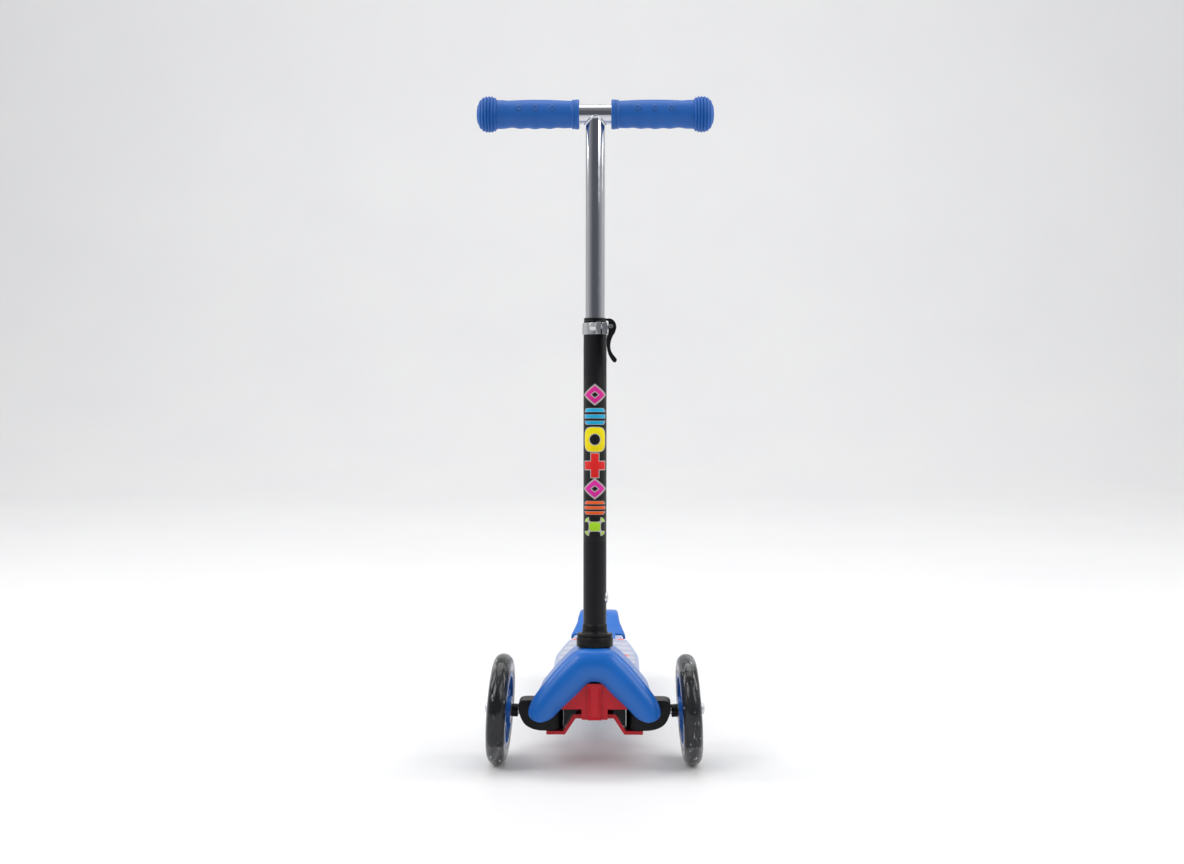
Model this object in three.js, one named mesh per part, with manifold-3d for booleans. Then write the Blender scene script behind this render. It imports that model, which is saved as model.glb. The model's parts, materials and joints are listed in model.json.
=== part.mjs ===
// Lean-to-steer kick scooter for a small child: two front wheels, one rear wheel, T-handlebar.
// Millimetres, +Z up, the front faces -Y, +X is the side of the clamp lever.
// The origin is on the floor, under the middle of the object's box.
import * as THREE from "three";
import { mergeVertices } from "three/addons/utils/BufferGeometryUtils.js";
import Module from "manifold-3d";

const wasm = await Module();
wasm.setup();

// ---------------------------------------------------------------- driving sizes
const GAP = 0.3; // clearance between neighbouring pieces
const WHEELBASE = 420; // front axle line to rear axle
const DEG = Math.PI / 180;

// wheels
const FRONT_R = 60;
const FRONT_TYRE_BORE_R = 41;
const REAR_R = 40;
const REAR_TYRE_BORE_R = 25;
const WHEEL_WIDTH = 24;
const CAMBER = 3.5 * DEG; // front wheels' tops lean inwards
const TOE = 2.5 * DEG; // their fronts point outwards
const TYRE_HALF = 10;
const RIM_HALF = TYRE_HALF - 0.5;
const TRACK_HALF = 102; // centre of a front wheel from the middle
const HUB_R = 14.5;
const BEARING_R = 11;
const BEARING_WIDTH = 7;
const AXLE_R = 4;
const SHOULDER_R = 6; // the axle's thick part between two bearings
const AXLE_HEAD_R = 6;
const AXLE_HEAD_LENGTH = 4.6;
const SPOKES = 5;
const SPOKE_WIDTH = 9;

// steering arms
const KINGPIN_X = 43;
const KINGPIN_R = 4;
const ARM_HALF_DEPTH = 12;
const KNUCKLE_R = 9;
const ARM_END_X = 82;
const ARM_BOTTOM = 39;
const ARM_TOP = 72;
const ARM_NUT_FROM = -45.5; // captive nut, in the wheel's frame
const ARM_NUT_TO = -40;
const LEVER_Y = 24; // tie rod pin behind the kingpin
const LEVER_BOTTOM = 49;
const LEVER_TOP = 59;
const LEVER_HALF = 6;
const TIE_PIN_R = 3;
const FINGER_HALF = 4; // the stem's finger in the tie rod
const TIE_ROD_HEIGHT = 6;
const TIE_ROD_HALF_DEPTH = 8;

// chassis nose
const ROOF_THICKNESS = 5;
const ROOF_HALF = 50;
const FACE_Y = -20; // front of the red face plate
const FACE_THICKNESS = 4;
const FACE_BOTTOM = 64;
const FACE_TOP = 92;
const FACE_HALF = 36;
const RIB_HALF = 7.5;
const ARCH_FLOOR = 52.5; // underside of the nose between its feet
const FOOT_THICKNESS = 3.7;
const FOOT_END_X = 52;
const NOSE_BACK = 40;

// stem
const LEAN_BACK = 4 * DEG;
const PIVOT_Z = 100;
const PIVOT_R = 4;
const BOSS_R = 13;
const HEAD_CHEEK = 14;
const HEAD_BACK = 15;
const PIVOT_BOLT_TIP = HEAD_BACK + 7;
const HOOD_TOP = 28; // heights from here on are measured from the pivot along the stem
const RING_R = 19.7;
const RING_HEIGHT = 14.5;
const SLEEVE_HEIGHT = 10;
const LOWER_TUBE_R = 12.5;
const LOWER_TUBE_WALL = 1;
const LOWER_TUBE_TOP = 377.4;
const SPIGOT_TOP = 104;
const BUTTON_HEIGHT = 81;
const BUTTON_R = 6.3;
const BUTTON_OUT = 2;
const BUTTON_TRAVEL = 3.5;
const INNER_TUBE_R = 10.4;
const INNER_TUBE_WALL = 1.2;
const INNER_TUBE_BOTTOM = 285;
const COLLAR_R = 12.1;
const COLLAR_HEIGHT = 5;
const COLLAR_DEPTH = 22;

// clamp
const BAND_HEIGHT = 12.4;
const BAND_WALL = 1;
const LUG_LEFT_X = 1.5;
const LUG_SPLIT_X = 7;
const LUG_RIGHT_X = 13.5;
const LUG_FRONT = LOWER_TUBE_R + 10.5;
const CLAMP_BOLT_Y = -LOWER_TUBE_R - 6.5; // the lever and its pin are placed from here
const CLAMP_BOLT_R = 2.5;
const CAM_PIN_X = 17.3;
const CAM_PIN_R = 1.5;
const EYE_R = 3.4;
const EYE_HALF = 3.7;
const LEVER_FRONT = -7; // from the clamp bolt's axis
const LEVER_BACK = 6.6;
const HOOK_THICKNESS = 2.7;

// handlebar
const BAR_HEIGHT = 602.5;
const BAR_R = 11;
const BAR_WALL = 1.5;
const BAR_HALF = 121;
const GRIP_START = 17.3;
const GRIP_END = 128;
const FLANGE_R = 16;
const FLANGE_WIDTH = 8;
const GRIP_R = 15.75;
const GRIP_WAIST_R = 14.5;
const BALL_R = 19.5;
const BALL_WIDTH = 27;

// hood
const HOOD_WALL = 3;
const HOOD_FRONT = -31;
const HOOD_BACK = 33;
const HOOD_TOP_HALF = 19.5;
const HOOD_FOOT_X = 72.4;
const HOOD_FOOT = -50;
const HOOD_ARCH = -8;
const HOOD_SIDE_END = -14; // the side walls stop here, above the arms
const HOOD_SHOE_BACK = -22;

// deck
const DECK_FRONT = 42;
const DECK_HALF = 50;
const DECK_TAIL = WHEELBASE - 77;
const DECK_TAIL_HALF = 34;
const DECK_BOTTOM = 54;
const DECK_TOP = 73.5;
const DECK_SKIN = 3.2;
const DECK_WALL = 3;
const DECK_RIBS = 4;
const PAD_THICKNESS = 1.2;
const PAD_BORDER = 4;
const TONGUE_HALF = 27;
const TONGUE_END = 112;
const TONGUE_BOTTOM = 57;
const SCREW_X = 17;
const SCREW_R = 2.2;
const SCREW_HEAD_R = 4.5;

// rear fork and brake
const PRONG_INNER = 15.6;
const PRONG_OUTER = 24.4;
const BRIDGE_BACK = WHEELBASE - 45;
const BRIDGE_TOP = 60;
const BRIDGE_BOTTOM = 45;
const HINGE_Y = WHEELBASE - 70;
const HINGE_Z = 70;
const HINGE_PIN_R = 2.5;
const BARREL_R = 5.6;
const BARREL_HALF = 22;
const EAR_END = 30;
const FENDER_R = 58;
const FENDER_WALL = 3.4;
const FENDER_SKIRT = 8;
const FENDER_HALF = 25.5;
const FENDER_BASE_HALF = 34.5;
const FENDER_FRONT_ANGLE = 112 * DEG;
const FENDER_REAR_ANGLE = 35 * DEG;
const PAD_GAP = 4.9; // brake pad to tyre when let go
const BRAKE_PAD_HALF = 9;

// facets
const ROUND = 24;
const MEDIUM_ROUND = 18;
const SMALL_ROUND = 12;
const WHEEL_ROUND = 40;

// ---------------------------------------------------------------- sizes that follow
const CROWN_R = TYRE_HALF;
const FRONT_AXLE_Z = (FRONT_R - CROWN_R) * Math.cos(CAMBER) + CROWN_R;
const ARM_ROOF = ARM_TOP + GAP;
const ROOF_TOP = ARM_ROOF + ROOF_THICKNESS;
const FOOT_TOP = ARM_BOTTOM - GAP;
const FOOT_BOTTOM = FOOT_TOP - FOOT_THICKNESS;
const TIE_ROD_BOTTOM = LEVER_TOP + GAP;
const TIE_ROD_TOP = TIE_ROD_BOTTOM + TIE_ROD_HEIGHT;
const RING_BOTTOM = HOOD_TOP + GAP;
const RING_TOP = RING_BOTTOM + RING_HEIGHT;
const SLEEVE_TOP = RING_TOP + SLEEVE_HEIGHT;
const LOWER_TUBE_BOTTOM = SLEEVE_TOP + GAP;
const TUBE_BORE_R = LOWER_TUBE_R - LOWER_TUBE_WALL;
const SPIGOT_R = TUBE_BORE_R - GAP;
const BAND_TOP = LOWER_TUBE_TOP - GAP;
const BAND_BOTTOM = BAND_TOP - BAND_HEIGHT;
const BAND_R = LOWER_TUBE_R + GAP;
const CAM_PIN_HEIGHT = BAND_TOP - 4.6;
const FENDER_REAR = WHEELBASE + FENDER_R * Math.cos(FENDER_REAR_ANGLE);
const CENTRE_Y = (FENDER_REAR - FRONT_R) / 2;
const DECK_SKIN_UNDER = DECK_TOP - DECK_SKIN;
const TONGUE_TOP = DECK_SKIN_UNDER - GAP;

// ---------------------------------------------------------------- geometry helpers
// A closed solid from a geometry; one that came from a boolean already shares its vertices.
function solidOf(geometry) {
  const bare = geometry.clone();
  bare.deleteAttribute("normal");
  bare.deleteAttribute("uv");
  const merged = geometry.userData.shared ? bare : mergeVertices(bare, 1e-4);
  return new wasm.Manifold(
    new wasm.Mesh({
      numProp: 3,
      vertProperties: merged.attributes.position.array,
      triVerts: new Uint32Array(merged.index.array),
    }),
  );
}

function geometryOf(solid) {
  const mesh = solid.getMesh();
  const geometry = new THREE.BufferGeometry();
  geometry.setAttribute("position", new THREE.BufferAttribute(mesh.vertProperties, 3));
  geometry.setIndex(new THREE.BufferAttribute(mesh.triVerts, 1));
  geometry.computeVertexNormals();
  geometry.userData.shared = true;
  return geometry;
}

function join(...geometries) {
  return geometryOf(geometries.map(solidOf).reduce((a, b) => a.add(b)));
}

function cut(body, ...tools) {
  return geometryOf(tools.map(solidOf).reduce((a, b) => a.subtract(b), solidOf(body)));
}

function common(a, b) {
  return geometryOf(solidOf(a).intersect(solidOf(b)));
}

// A block between two limits on each axis.
function block([x0, x1], [y0, y1], [z0, z1]) {
  const geometry = new THREE.BoxGeometry(x1 - x0, y1 - y0, z1 - z0);
  return geometry.translate((x0 + x1) / 2, (y0 + y1) / 2, (z0 + z1) / 2);
}

const TURN = {
  x: (geometry) => geometry.rotateZ(-90 * DEG),
  y: (geometry) => geometry,
  z: (geometry) => geometry.rotateX(90 * DEG),
};

// A round bar along an axis, from one place to another.
function rod(axis, radius, from, to, facets = ROUND) {
  const geometry = new THREE.CylinderGeometry(radius, radius, to - from, facets);
  return TURN[axis](geometry.translate(0, (from + to) / 2, 0));
}

// A turned piece: the profile lists [radius, place along the axis], either way round.
function turned(axis, profile, facets = ROUND) {
  const closed = profile[0][0] > 0 || profile.at(-1)[0] > 0;
  const loop = closed ? [...profile, profile[0]] : profile;
  let area = 0;
  loop.forEach(([r, a], i) => {
    const [rNext, aNext] = loop[(i + 1) % loop.length];
    area += r * aNext - rNext * a;
  });
  const ordered = area > 0 ? loop : [...loop].reverse();
  return TURN[axis](new THREE.LatheGeometry(ordered.map((p) => new THREE.Vector2(...p)), facets));
}

function ring(axis, inner, outer, from, to, facets = ROUND) {
  return turned(axis, [[inner, from], [outer, from], [outer, to], [inner, to]], facets);
}

function shapeOf(points) {
  return new THREE.Shape(points.map((p) => new THREE.Vector2(...p)));
}

// A polygon with its corners rounded to a given reach.
function rounded(points, reach) {
  const corners = points.map((p) => new THREE.Vector2(...p));
  const shape = new THREE.Shape();
  corners.forEach((corner, i) => {
    const before = corners[(i + corners.length - 1) % corners.length];
    const after = corners[(i + 1) % corners.length];
    const reachIn = Math.min(reach, corner.distanceTo(before) * 0.45);
    const reachOut = Math.min(reach, corner.distanceTo(after) * 0.45);
    const start = before.clone().sub(corner).setLength(reachIn).add(corner);
    const end = after.clone().sub(corner).setLength(reachOut).add(corner);
    if (i === 0) shape.moveTo(start.x, start.y);
    else shape.lineTo(start.x, start.y);
    shape.quadraticCurveTo(corner.x, corner.y, end.x, end.y);
  });
  shape.closePath();
  return shape;
}

function mirrored(half) {
  return [...half, ...[...half].reverse().map(([x, y]) => [-x, y])];
}

const PLANE = {
  xy: new THREE.Matrix4(),
  xz: new THREE.Matrix4().makeRotationX(90 * DEG),
  yz: new THREE.Matrix4().makeBasis(
    new THREE.Vector3(0, 1, 0),
    new THREE.Vector3(0, 0, 1),
    new THREE.Vector3(1, 0, 0),
  ),
};

// A flat outline in a plane, drawn out between two places on the axis across it.
function plate(plane, shape, from, to, curveSegments = 5) {
  const options = { depth: to - from, bevelEnabled: false, curveSegments };
  const geometry = new THREE.ExtrudeGeometry(shape, options).applyMatrix4(PLANE[plane]);
  if (plane === "xz") return geometry.translate(0, to, 0);
  if (plane === "yz") return geometry.translate(from, 0, 0);
  return geometry.translate(0, 0, from);
}

class Helix extends THREE.Curve {
  constructor(radius, bottom, top, turns) {
    super();
    Object.assign(this, { radius, bottom, top, turns });
  }
  getPoint(t) {
    const angle = t * this.turns * 2 * Math.PI;
    const height = this.bottom + (this.top - this.bottom) * t;
    return new THREE.Vector3(this.radius * Math.cos(angle), this.radius * Math.sin(angle), height);
  }
}

// A coil spring standing on +Z, its ends within the two heights.
function coil(radius, wire, bottom, top, turns) {
  const section = new THREE.Shape();
  section.absarc(0, 0, wire / 2, 0, 2 * Math.PI);
  const path = new Helix(radius - wire / 2, bottom + wire / 2, top - wire / 2, turns);
  const options = { extrudePath: path, steps: turns * 8, curveSegments: 2, bevelEnabled: false };
  return new THREE.ExtrudeGeometry(section, options);
}

function material(color, roughness, metalness = 0) {
  return new THREE.MeshStandardMaterial({ color, roughness, metalness });
}

const FINISH = {
  blue: material(0x2369c8, 0.45),
  blueRubber: material(0x2060c4, 0.6),
  red: material(0xc8192d, 0.4),
  black: material(0x1c1c1e, 0.5),
  blackTube: material(0x141416, 0.35, 0.3),
  clear: material(0x70757a, 0.2),
  chrome: material(0xb9bcc2, 0.15, 1),
  steel: material(0x9a9ca0, 0.35, 1),
  deck: material(0xc9cfdf, 0.4),
  pad: material(0xe4e4ea, 0.5),
};

function piece(name, geometry, finish) {
  const mesh = new THREE.Mesh(geometry, finish);
  mesh.name = name;
  return mesh;
}

function group(...children) {
  const made = new THREE.Group();
  made.add(...children);
  return made;
}

// ---------------------------------------------------------------- frames
const stemFrame = new THREE.Matrix4()
  .makeTranslation(0, 0, PIVOT_Z)
  .multiply(new THREE.Matrix4().makeRotationX(-LEAN_BACK));

// A front wheel's own frame: its centre, +X along the axle and outwards.
function wheelFrame(side) {
  const turn = new THREE.Matrix4().makeRotationY(-side * CAMBER);
  const facing = new THREE.Matrix4().makeRotationZ(side > 0 ? 0 : Math.PI);
  const place = new THREE.Matrix4().makeTranslation(side * TRACK_HALF, 0, FRONT_AXLE_Z);
  const toe = new THREE.Matrix4().makeRotationZ(side * TOE);
  return place.multiply(toe).multiply(turn).multiply(facing);
}

// ---------------------------------------------------------------- wheels
function tyre(radius, bore) {
  const bead = RIM_HALF;
  const steps = 8;
  const profile = [[bore + GAP, -bead]];
  for (let i = 0; i <= steps; i++) {
    const angle = (i / steps - 0.5) * Math.PI;
    profile.push([radius - CROWN_R + CROWN_R * Math.cos(angle), CROWN_R * Math.sin(angle)]);
  }
  profile.push([bore + GAP, bead]);
  return turned("x", profile, WHEEL_ROUND);
}

function hub() {
  const half = WHEEL_WIDTH / 2;
  const seat = BEARING_R + GAP;
  const step = half - BEARING_WIDTH - GAP;
  const bore = SHOULDER_R + 2;
  return turned("x", [
    [HUB_R, -half], [HUB_R, half], [seat, half], [seat, step],
    [bore, step], [bore, -step], [seat, -step], [seat, -half],
  ]);
}

function frontCore() {
  const rim = ring("x", FRONT_TYRE_BORE_R - 5, FRONT_TYRE_BORE_R, -RIM_HALF, RIM_HALF, WHEEL_ROUND);
  const reach = FRONT_TYRE_BORE_R - 3;
  const spokes = Array.from({ length: SPOKES }, (_, i) =>
    block([-7, 7], [-SPOKE_WIDTH / 2, SPOKE_WIDTH / 2], [HUB_R - 1.5, reach])
      .rotateX((i * 2 * Math.PI) / SPOKES));
  return join(rim, hub(), ...spokes);
}

function rearCore() {
  const rim = ring("x", REAR_TYRE_BORE_R - 4, REAR_TYRE_BORE_R, -RIM_HALF, RIM_HALF);
  const disc = ring("x", HUB_R - 1.5, REAR_TYRE_BORE_R - 2, -4, 4);
  return join(rim, hub(), disc);
}

function bearing(outerSide) {
  const outer = (WHEEL_WIDTH / 2) * outerSide;
  const inner = outer - BEARING_WIDTH * outerSide;
  return ring("x", AXLE_R + GAP, BEARING_R, Math.min(inner, outer), Math.max(inner, outer), MEDIUM_ROUND);
}

// A domed axle bolt with a shoulder between the bearings.
function axleBolt(headStart, tip) {
  const shoulder = WHEEL_WIDTH / 2 - BEARING_WIDTH - GAP;
  const headEnd = headStart + AXLE_HEAD_LENGTH;
  return turned("x", [
    [0, tip], [AXLE_R, tip], [AXLE_R, -shoulder], [SHOULDER_R, -shoulder],
    [SHOULDER_R, shoulder], [AXLE_R, shoulder], [AXLE_R, headStart], [AXLE_HEAD_R, headStart],
    [AXLE_HEAD_R, headEnd - 2], [AXLE_HEAD_R * 0.7, headEnd - 0.6], [0, headEnd],
  ], MEDIUM_ROUND);
}

function hexNut(radius, bore, from, to) {
  return cut(rod("x", radius, from, to, 6), rod("x", bore, from - 1, to + 1, SMALL_ROUND));
}

// ---------------------------------------------------------------- steering arms
function steeringArm(side) {
  const outline = [
    [KINGPIN_X, ARM_BOTTOM], [ARM_END_X - 19, ARM_BOTTOM], [ARM_END_X - 6, ARM_BOTTOM + 6],
    [ARM_END_X, ARM_BOTTOM + 20], [ARM_END_X, ARM_TOP], [KINGPIN_X, ARM_TOP],
  ].map(([x, z]) => [side * x, z]);
  const body = plate("xz", rounded(outline, 9), -ARM_HALF_DEPTH, ARM_HALF_DEPTH);
  const x = side * KINGPIN_X;
  const knuckle = rod("z", KNUCKLE_R, ARM_BOTTOM, ARM_TOP).translate(x, 0, 0);
  const lever = block([x - LEVER_HALF, x + LEVER_HALF], [8, LEVER_Y], [LEVER_BOTTOM, LEVER_TOP]);
  const leverEnd = rod("z", LEVER_HALF, LEVER_BOTTOM, LEVER_TOP, MEDIUM_ROUND).translate(x, LEVER_Y, 0);
  const pin = rod("z", TIE_PIN_R, LEVER_TOP - 1, TIE_ROD_TOP + 1, SMALL_ROUND)
    .translate(x, LEVER_Y, 0);
  const filler = block([Math.min(x, side * 50), Math.max(x, side * 50)],
    [-ARM_HALF_DEPTH, ARM_HALF_DEPTH], [ARM_BOTTOM, ARM_TOP]);
  const kingpinBore = rod("z", KINGPIN_R + GAP, 0, 100, SMALL_ROUND).translate(x, 0, 0);
  const axleBore = rod("x", AXLE_R + GAP, ARM_NUT_FROM - 2, 0, SMALL_ROUND)
    .applyMatrix4(wheelFrame(side));
  const pocket = block([ARM_NUT_FROM - 1, ARM_NUT_TO + 1], [-8.5, 8.5], [-8.5, 8.5])
    .applyMatrix4(wheelFrame(side));
  const mouthY = side > 0 ? [0, 20] : [-20, 0];
  const mouth = block([ARM_NUT_FROM - 1, ARM_NUT_TO + 1], mouthY, [-8.5, 8.5]);
  return cut(join(body, filler, knuckle, lever, leverEnd, pin),
    kingpinBore, axleBore, pocket, mouth.applyMatrix4(wheelFrame(side)));
}

function kingpin(side) {
  const head = ROOF_TOP + GAP;
  return turned("z", [
    [0, FOOT_BOTTOM + 0.2], [KINGPIN_R, FOOT_BOTTOM + 0.2], [KINGPIN_R, head],
    [6.5, head], [6.5, head + 3], [4.5, head + 4], [0, head + 4],
  ], MEDIUM_ROUND).translate(side * KINGPIN_X, 0, 0);
}

// Finger and pins run in slots that are long along Y.
function tieRod() {
  const reach = KINGPIN_X + 9;
  const [y0, y1] = [LEVER_Y - TIE_ROD_HALF_DEPTH, LEVER_Y + TIE_ROD_HALF_DEPTH];
  const outline = rounded([[-reach, y0], [reach, y0], [reach, y1], [-reach, y1]], 6);
  const bar = plate("xy", outline, TIE_ROD_BOTTOM, TIE_ROD_TOP);
  const pinHalf = TIE_PIN_R + 0.35;
  const slots = [-1, 1].map((side) => block(
    [side * KINGPIN_X - pinHalf, side * KINGPIN_X + pinHalf],
    [LEVER_Y - TIE_PIN_R - 1, LEVER_Y + TIE_PIN_R + 0.6], [0, 100]));
  const fingerHalf = FINGER_HALF + 0.9;
  const centre = block([-fingerHalf, fingerHalf],
    [LEVER_Y - FINGER_HALF - 1, LEVER_Y + FINGER_HALF + 1], [0, 100]);
  return cut(bar, ...slots, centre);
}
// ---------------------------------------------------------------- chassis nose
function chassisNose() {
  const kneeX = KINGPIN_X - KNUCKLE_R - GAP;
  const face = plate("xz", shapeOf(mirrored([
    [FACE_HALF, FACE_BOTTOM], [FACE_HALF, ROOF_TOP], [15, FACE_TOP],
  ])), FACE_Y, FACE_Y + FACE_THICKNESS);
  const rib = block([-RIB_HALF, RIB_HALF], [FACE_Y - 2, FACE_Y + 1], [ARCH_FLOOR, FACE_TOP]);
  const column = block([-14, 14], [FACE_Y + 1, 10], [ARCH_FLOOR, ROOF_TOP]);
  const roof = plate("xy", rounded([
    [-ROOF_HALF, FACE_Y + 4], [ROOF_HALF, FACE_Y + 4], [ROOF_HALF, 14],
    [34, NOSE_BACK], [-34, NOSE_BACK], [-ROOF_HALF, 14],
  ], 10), ARM_ROOF, ROOF_TOP);
  const brow = block([-FACE_HALF, FACE_HALF], [FACE_Y, 0], [ARM_ROOF, ROOF_TOP]);
  const arch = plate("xz", shapeOf(mirrored([
    [20.5, ARCH_FLOOR], [kneeX - 1.7, FOOT_BOTTOM], [FOOT_END_X, FOOT_BOTTOM],
    [FOOT_END_X, FOOT_TOP], [kneeX, FOOT_TOP], [23, ARCH_FLOOR + 4.5],
  ])), -13, 13);
  const backWall = block([-34, 34], [NOSE_BACK - 6, NOSE_BACK], [TONGUE_BOTTOM, ROOF_TOP]);
  const tongue = block([-TONGUE_HALF + GAP, TONGUE_HALF - GAP], [NOSE_BACK - 3, TONGUE_END],
    [TONGUE_BOTTOM, TONGUE_TOP]);
  const boss = join(
    block([-BOSS_R, BOSS_R], [-8, 9], [ROOF_TOP - PIVOT_Z - 3, 0]),
    rod("y", BOSS_R, -8, 9),
  ).applyMatrix4(stemFrame);
  const pivotBore = rod("y", PIVOT_R + GAP, -30, 30, SMALL_ROUND).applyMatrix4(stemFrame);
  const window = block([-10.5, 10.5], [15, 33], [FOOT_TOP, ROOF_TOP + 1]);
  const kingpinBores = [-1, 1].map((side) =>
    rod("z", KINGPIN_R + GAP, 0, ROOF_TOP + 1, SMALL_ROUND).translate(side * KINGPIN_X, 0, 0));
  const screwBores = screwPlaces().map(([x, y]) =>
    rod("z", SCREW_R + GAP, 0, TONGUE_TOP + 1, SMALL_ROUND).translate(x, y, 0));
  return cut(join(face, rib, column, roof, brow, arch, backWall, tongue, boss),
    pivotBore, window, ...kingpinBores, ...screwBores);
}

// Rubber block between the roof and a leg of the arch, filling the room beside the knuckle.
function leanStop(side) {
  const outer = KINGPIN_X - KNUCKLE_R - 2 * GAP;
  const outline = [
    [20, ARM_ROOF - GAP], [outer, ARM_ROOF - GAP], [outer, FOOT_TOP + 3.6],
    [24.4, ARCH_FLOOR + 5.2], [20, ARCH_FLOOR + 5.2],
  ].map(([x, z]) => [side * x, z]);
  return plate("xz", shapeOf(outline), FACE_Y + FACE_THICKNESS + GAP, 12.7);
}

function screwPlaces() {
  const rows = [TONGUE_END - 52, TONGUE_END - 12];
  return rows.flatMap((y) => [[-SCREW_X, y], [SCREW_X, y]]);
}

function chassisScrew([x, y]) {
  const head = TONGUE_BOTTOM - GAP;
  return turned("z", [
    [0, head - 2.6], [SCREW_HEAD_R * 0.8, head - 2.6], [SCREW_HEAD_R, head - 1.4],
    [SCREW_HEAD_R, head], [SCREW_R, head], [SCREW_R, DECK_TOP - 1.2], [0, DECK_TOP - 1.2],
  ], SMALL_ROUND).translate(x, y, 0);
}

// ---------------------------------------------------------------- stem
function pivotBolt() {
  const head = -HEAD_CHEEK - GAP;
  return turned("y", [
    [0, head - 4.5], [5, head - 4.5], [6.2, head - 3.4], [6.2, head], [PIVOT_R, head],
    [PIVOT_R, PIVOT_BOLT_TIP], [0, PIVOT_BOLT_TIP],
  ], MEDIUM_ROUND);
}
function pivotNut() {
  return hexNut(6.8, PIVOT_R + GAP, HEAD_BACK + GAP, HEAD_BACK + 6).rotateZ(90 * DEG);
}

// The block under the hood: two cheeks over the boss, spring wings, and the steering finger.
function steeringHead() {
  const cheek = plate("xz", shapeOf(mirrored([
    [9, -12], [12, -8], [14.5, -2], [31, -2], [31, 8], [20, 12], [14.5, HOOD_TOP - 4],
  ])), -HEAD_CHEEK, HEAD_BACK);
  const slot = block([-BOSS_R - 1.2, BOSS_R + 1.2], [-8 - GAP, 9 + GAP], [-20, BOSS_R + 1]);
  const rodY = (LEVER_Y + (PIVOT_Z - TIE_ROD_BOTTOM - TIE_ROD_HEIGHT / 2) * Math.sin(LEAN_BACK))
    / Math.cos(LEAN_BACK);
  const fingerBack = rodY + FINGER_HALF;
  const shoulder = block([-9, 9], [HEAD_BACK + 6 + GAP, fingerBack], [-12, 8]);
  const bridge = block([-12, 12], [HEAD_BACK - 1, fingerBack], [8, 18]);
  const finger = block([-FINGER_HALF, FINGER_HALF], [rodY - FINGER_HALF, fingerBack],
    [LEVER_TOP - 2 - PIVOT_Z, 10]);
  const bore = rod("y", PIVOT_R + GAP, -30, HEAD_BACK + 2, SMALL_ROUND);
  const socketBore = rod("z", 10 + GAP, BOSS_R + 3, HOOD_TOP);
  return cut(join(cut(cheek, slot), bridge, finger, cut(shoulder, block([-9.1, 9.1],
    [0, PIVOT_BOLT_TIP + GAP], [-20, 7.5]))), bore, socketBore);
}

function hoodHalf(inset) {
  const top = HOOD_TOP - inset;
  return [
    [HOOD_FOOT_X - inset, HOOD_FOOT + 13], [64.5 - inset * 0.8, -22 - inset * 0.5],
    [42.5 - inset * 0.7, 5 - inset * 0.7], [30 - inset * 0.7, 17.5 - inset * 0.7],
    [HOOD_TOP_HALF - inset * 0.4, top],
  ];
}

function steeringHood() {
  const outer = shapeOf(mirrored([
    [15, -17], [36, -37], [45, -46], [54, HOOD_FOOT], [63, HOOD_FOOT + 1.5], [70, -45],
    ...hoodHalf(0),
  ]));
  const archTop = rounded([[-15.2, -17.2], [0, HOOD_ARCH + 4.5], [15.2, -17.2], [0, -30]], 9);
  const body = plate("xz", outer, HOOD_FRONT, HOOD_BACK);
  const hollow = plate("xz", shapeOf(mirrored([
    [HOOD_FOOT_X - HOOD_WALL, HOOD_FOOT - 10], ...hoodHalf(HOOD_WALL),
  ])), HOOD_FRONT + HOOD_WALL, HOOD_BACK + 1);
  const armSpace = [-1, 1].map((side) => block(
    [Math.min(side * 40, side * 90), Math.max(side * 40, side * 90)],
    [HOOD_SHOE_BACK, HOOD_BACK + 1], [HOOD_FOOT - 1, HOOD_SIDE_END]));
  const arch = plate("xz", archTop, HOOD_FRONT - 1, HOOD_BACK + 1);
  const socketHole = rod("z", 12 + GAP, 0, HOOD_TOP + 1);
  return cut(body, hollow, ...armSpace, arch, socketHole);
}

function stemSocket() {
  const lip = RING_R - 0.4;
  return cut(turned("z", [
    [0, BOSS_R + 3 + GAP], [10, BOSS_R + 3 + GAP], [10, HOOD_TOP - 4 + GAP],
    [12, HOOD_TOP - 4 + GAP], [12, RING_BOTTOM], [RING_R, RING_BOTTOM],
    [RING_R, RING_TOP - 4.4], [RING_R - 1.1, RING_TOP - 3.8], [lip, RING_TOP - 3],
    [lip, RING_TOP - 0.8], [lip - 1.2, RING_TOP], [14.2, RING_TOP], [13.6, RING_TOP + 2],
    [LOWER_TUBE_R + 0.5, SLEEVE_TOP], [SPIGOT_R, SLEEVE_TOP], [SPIGOT_R, SPIGOT_TOP - 1],
    [SPIGOT_R - 1, SPIGOT_TOP], [0, SPIGOT_TOP],
  ]), rod("x", BUTTON_R + GAP, -8, 20, MEDIUM_ROUND).translate(0, 0, BUTTON_HEIGHT));
}

function lowerTube() {
  const tube = ring("z", TUBE_BORE_R, LOWER_TUBE_R, LOWER_TUBE_BOTTOM, LOWER_TUBE_TOP);
  return cut(tube, rod("x", BUTTON_R + GAP, 0, 20, MEDIUM_ROUND).translate(0, 0, BUTTON_HEIGHT));
}

function releaseButton() {
  const out = LOWER_TUBE_R + BUTTON_OUT;
  return turned("x", [
    [0, 3], [BUTTON_R, 3], [BUTTON_R, LOWER_TUBE_R - 1], [BUTTON_R * 0.9, out - 0.9],
    [BUTTON_R * 0.6, out - 0.2], [0, out],
  ], MEDIUM_ROUND).translate(0, 0, BUTTON_HEIGHT);
}

function buttonSpring() {
  const spring = coil(4.6, 0.9, -7.6, 2.7, 4);
  return spring.rotateY(90 * DEG).translate(0, 0, BUTTON_HEIGHT);
}

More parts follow.
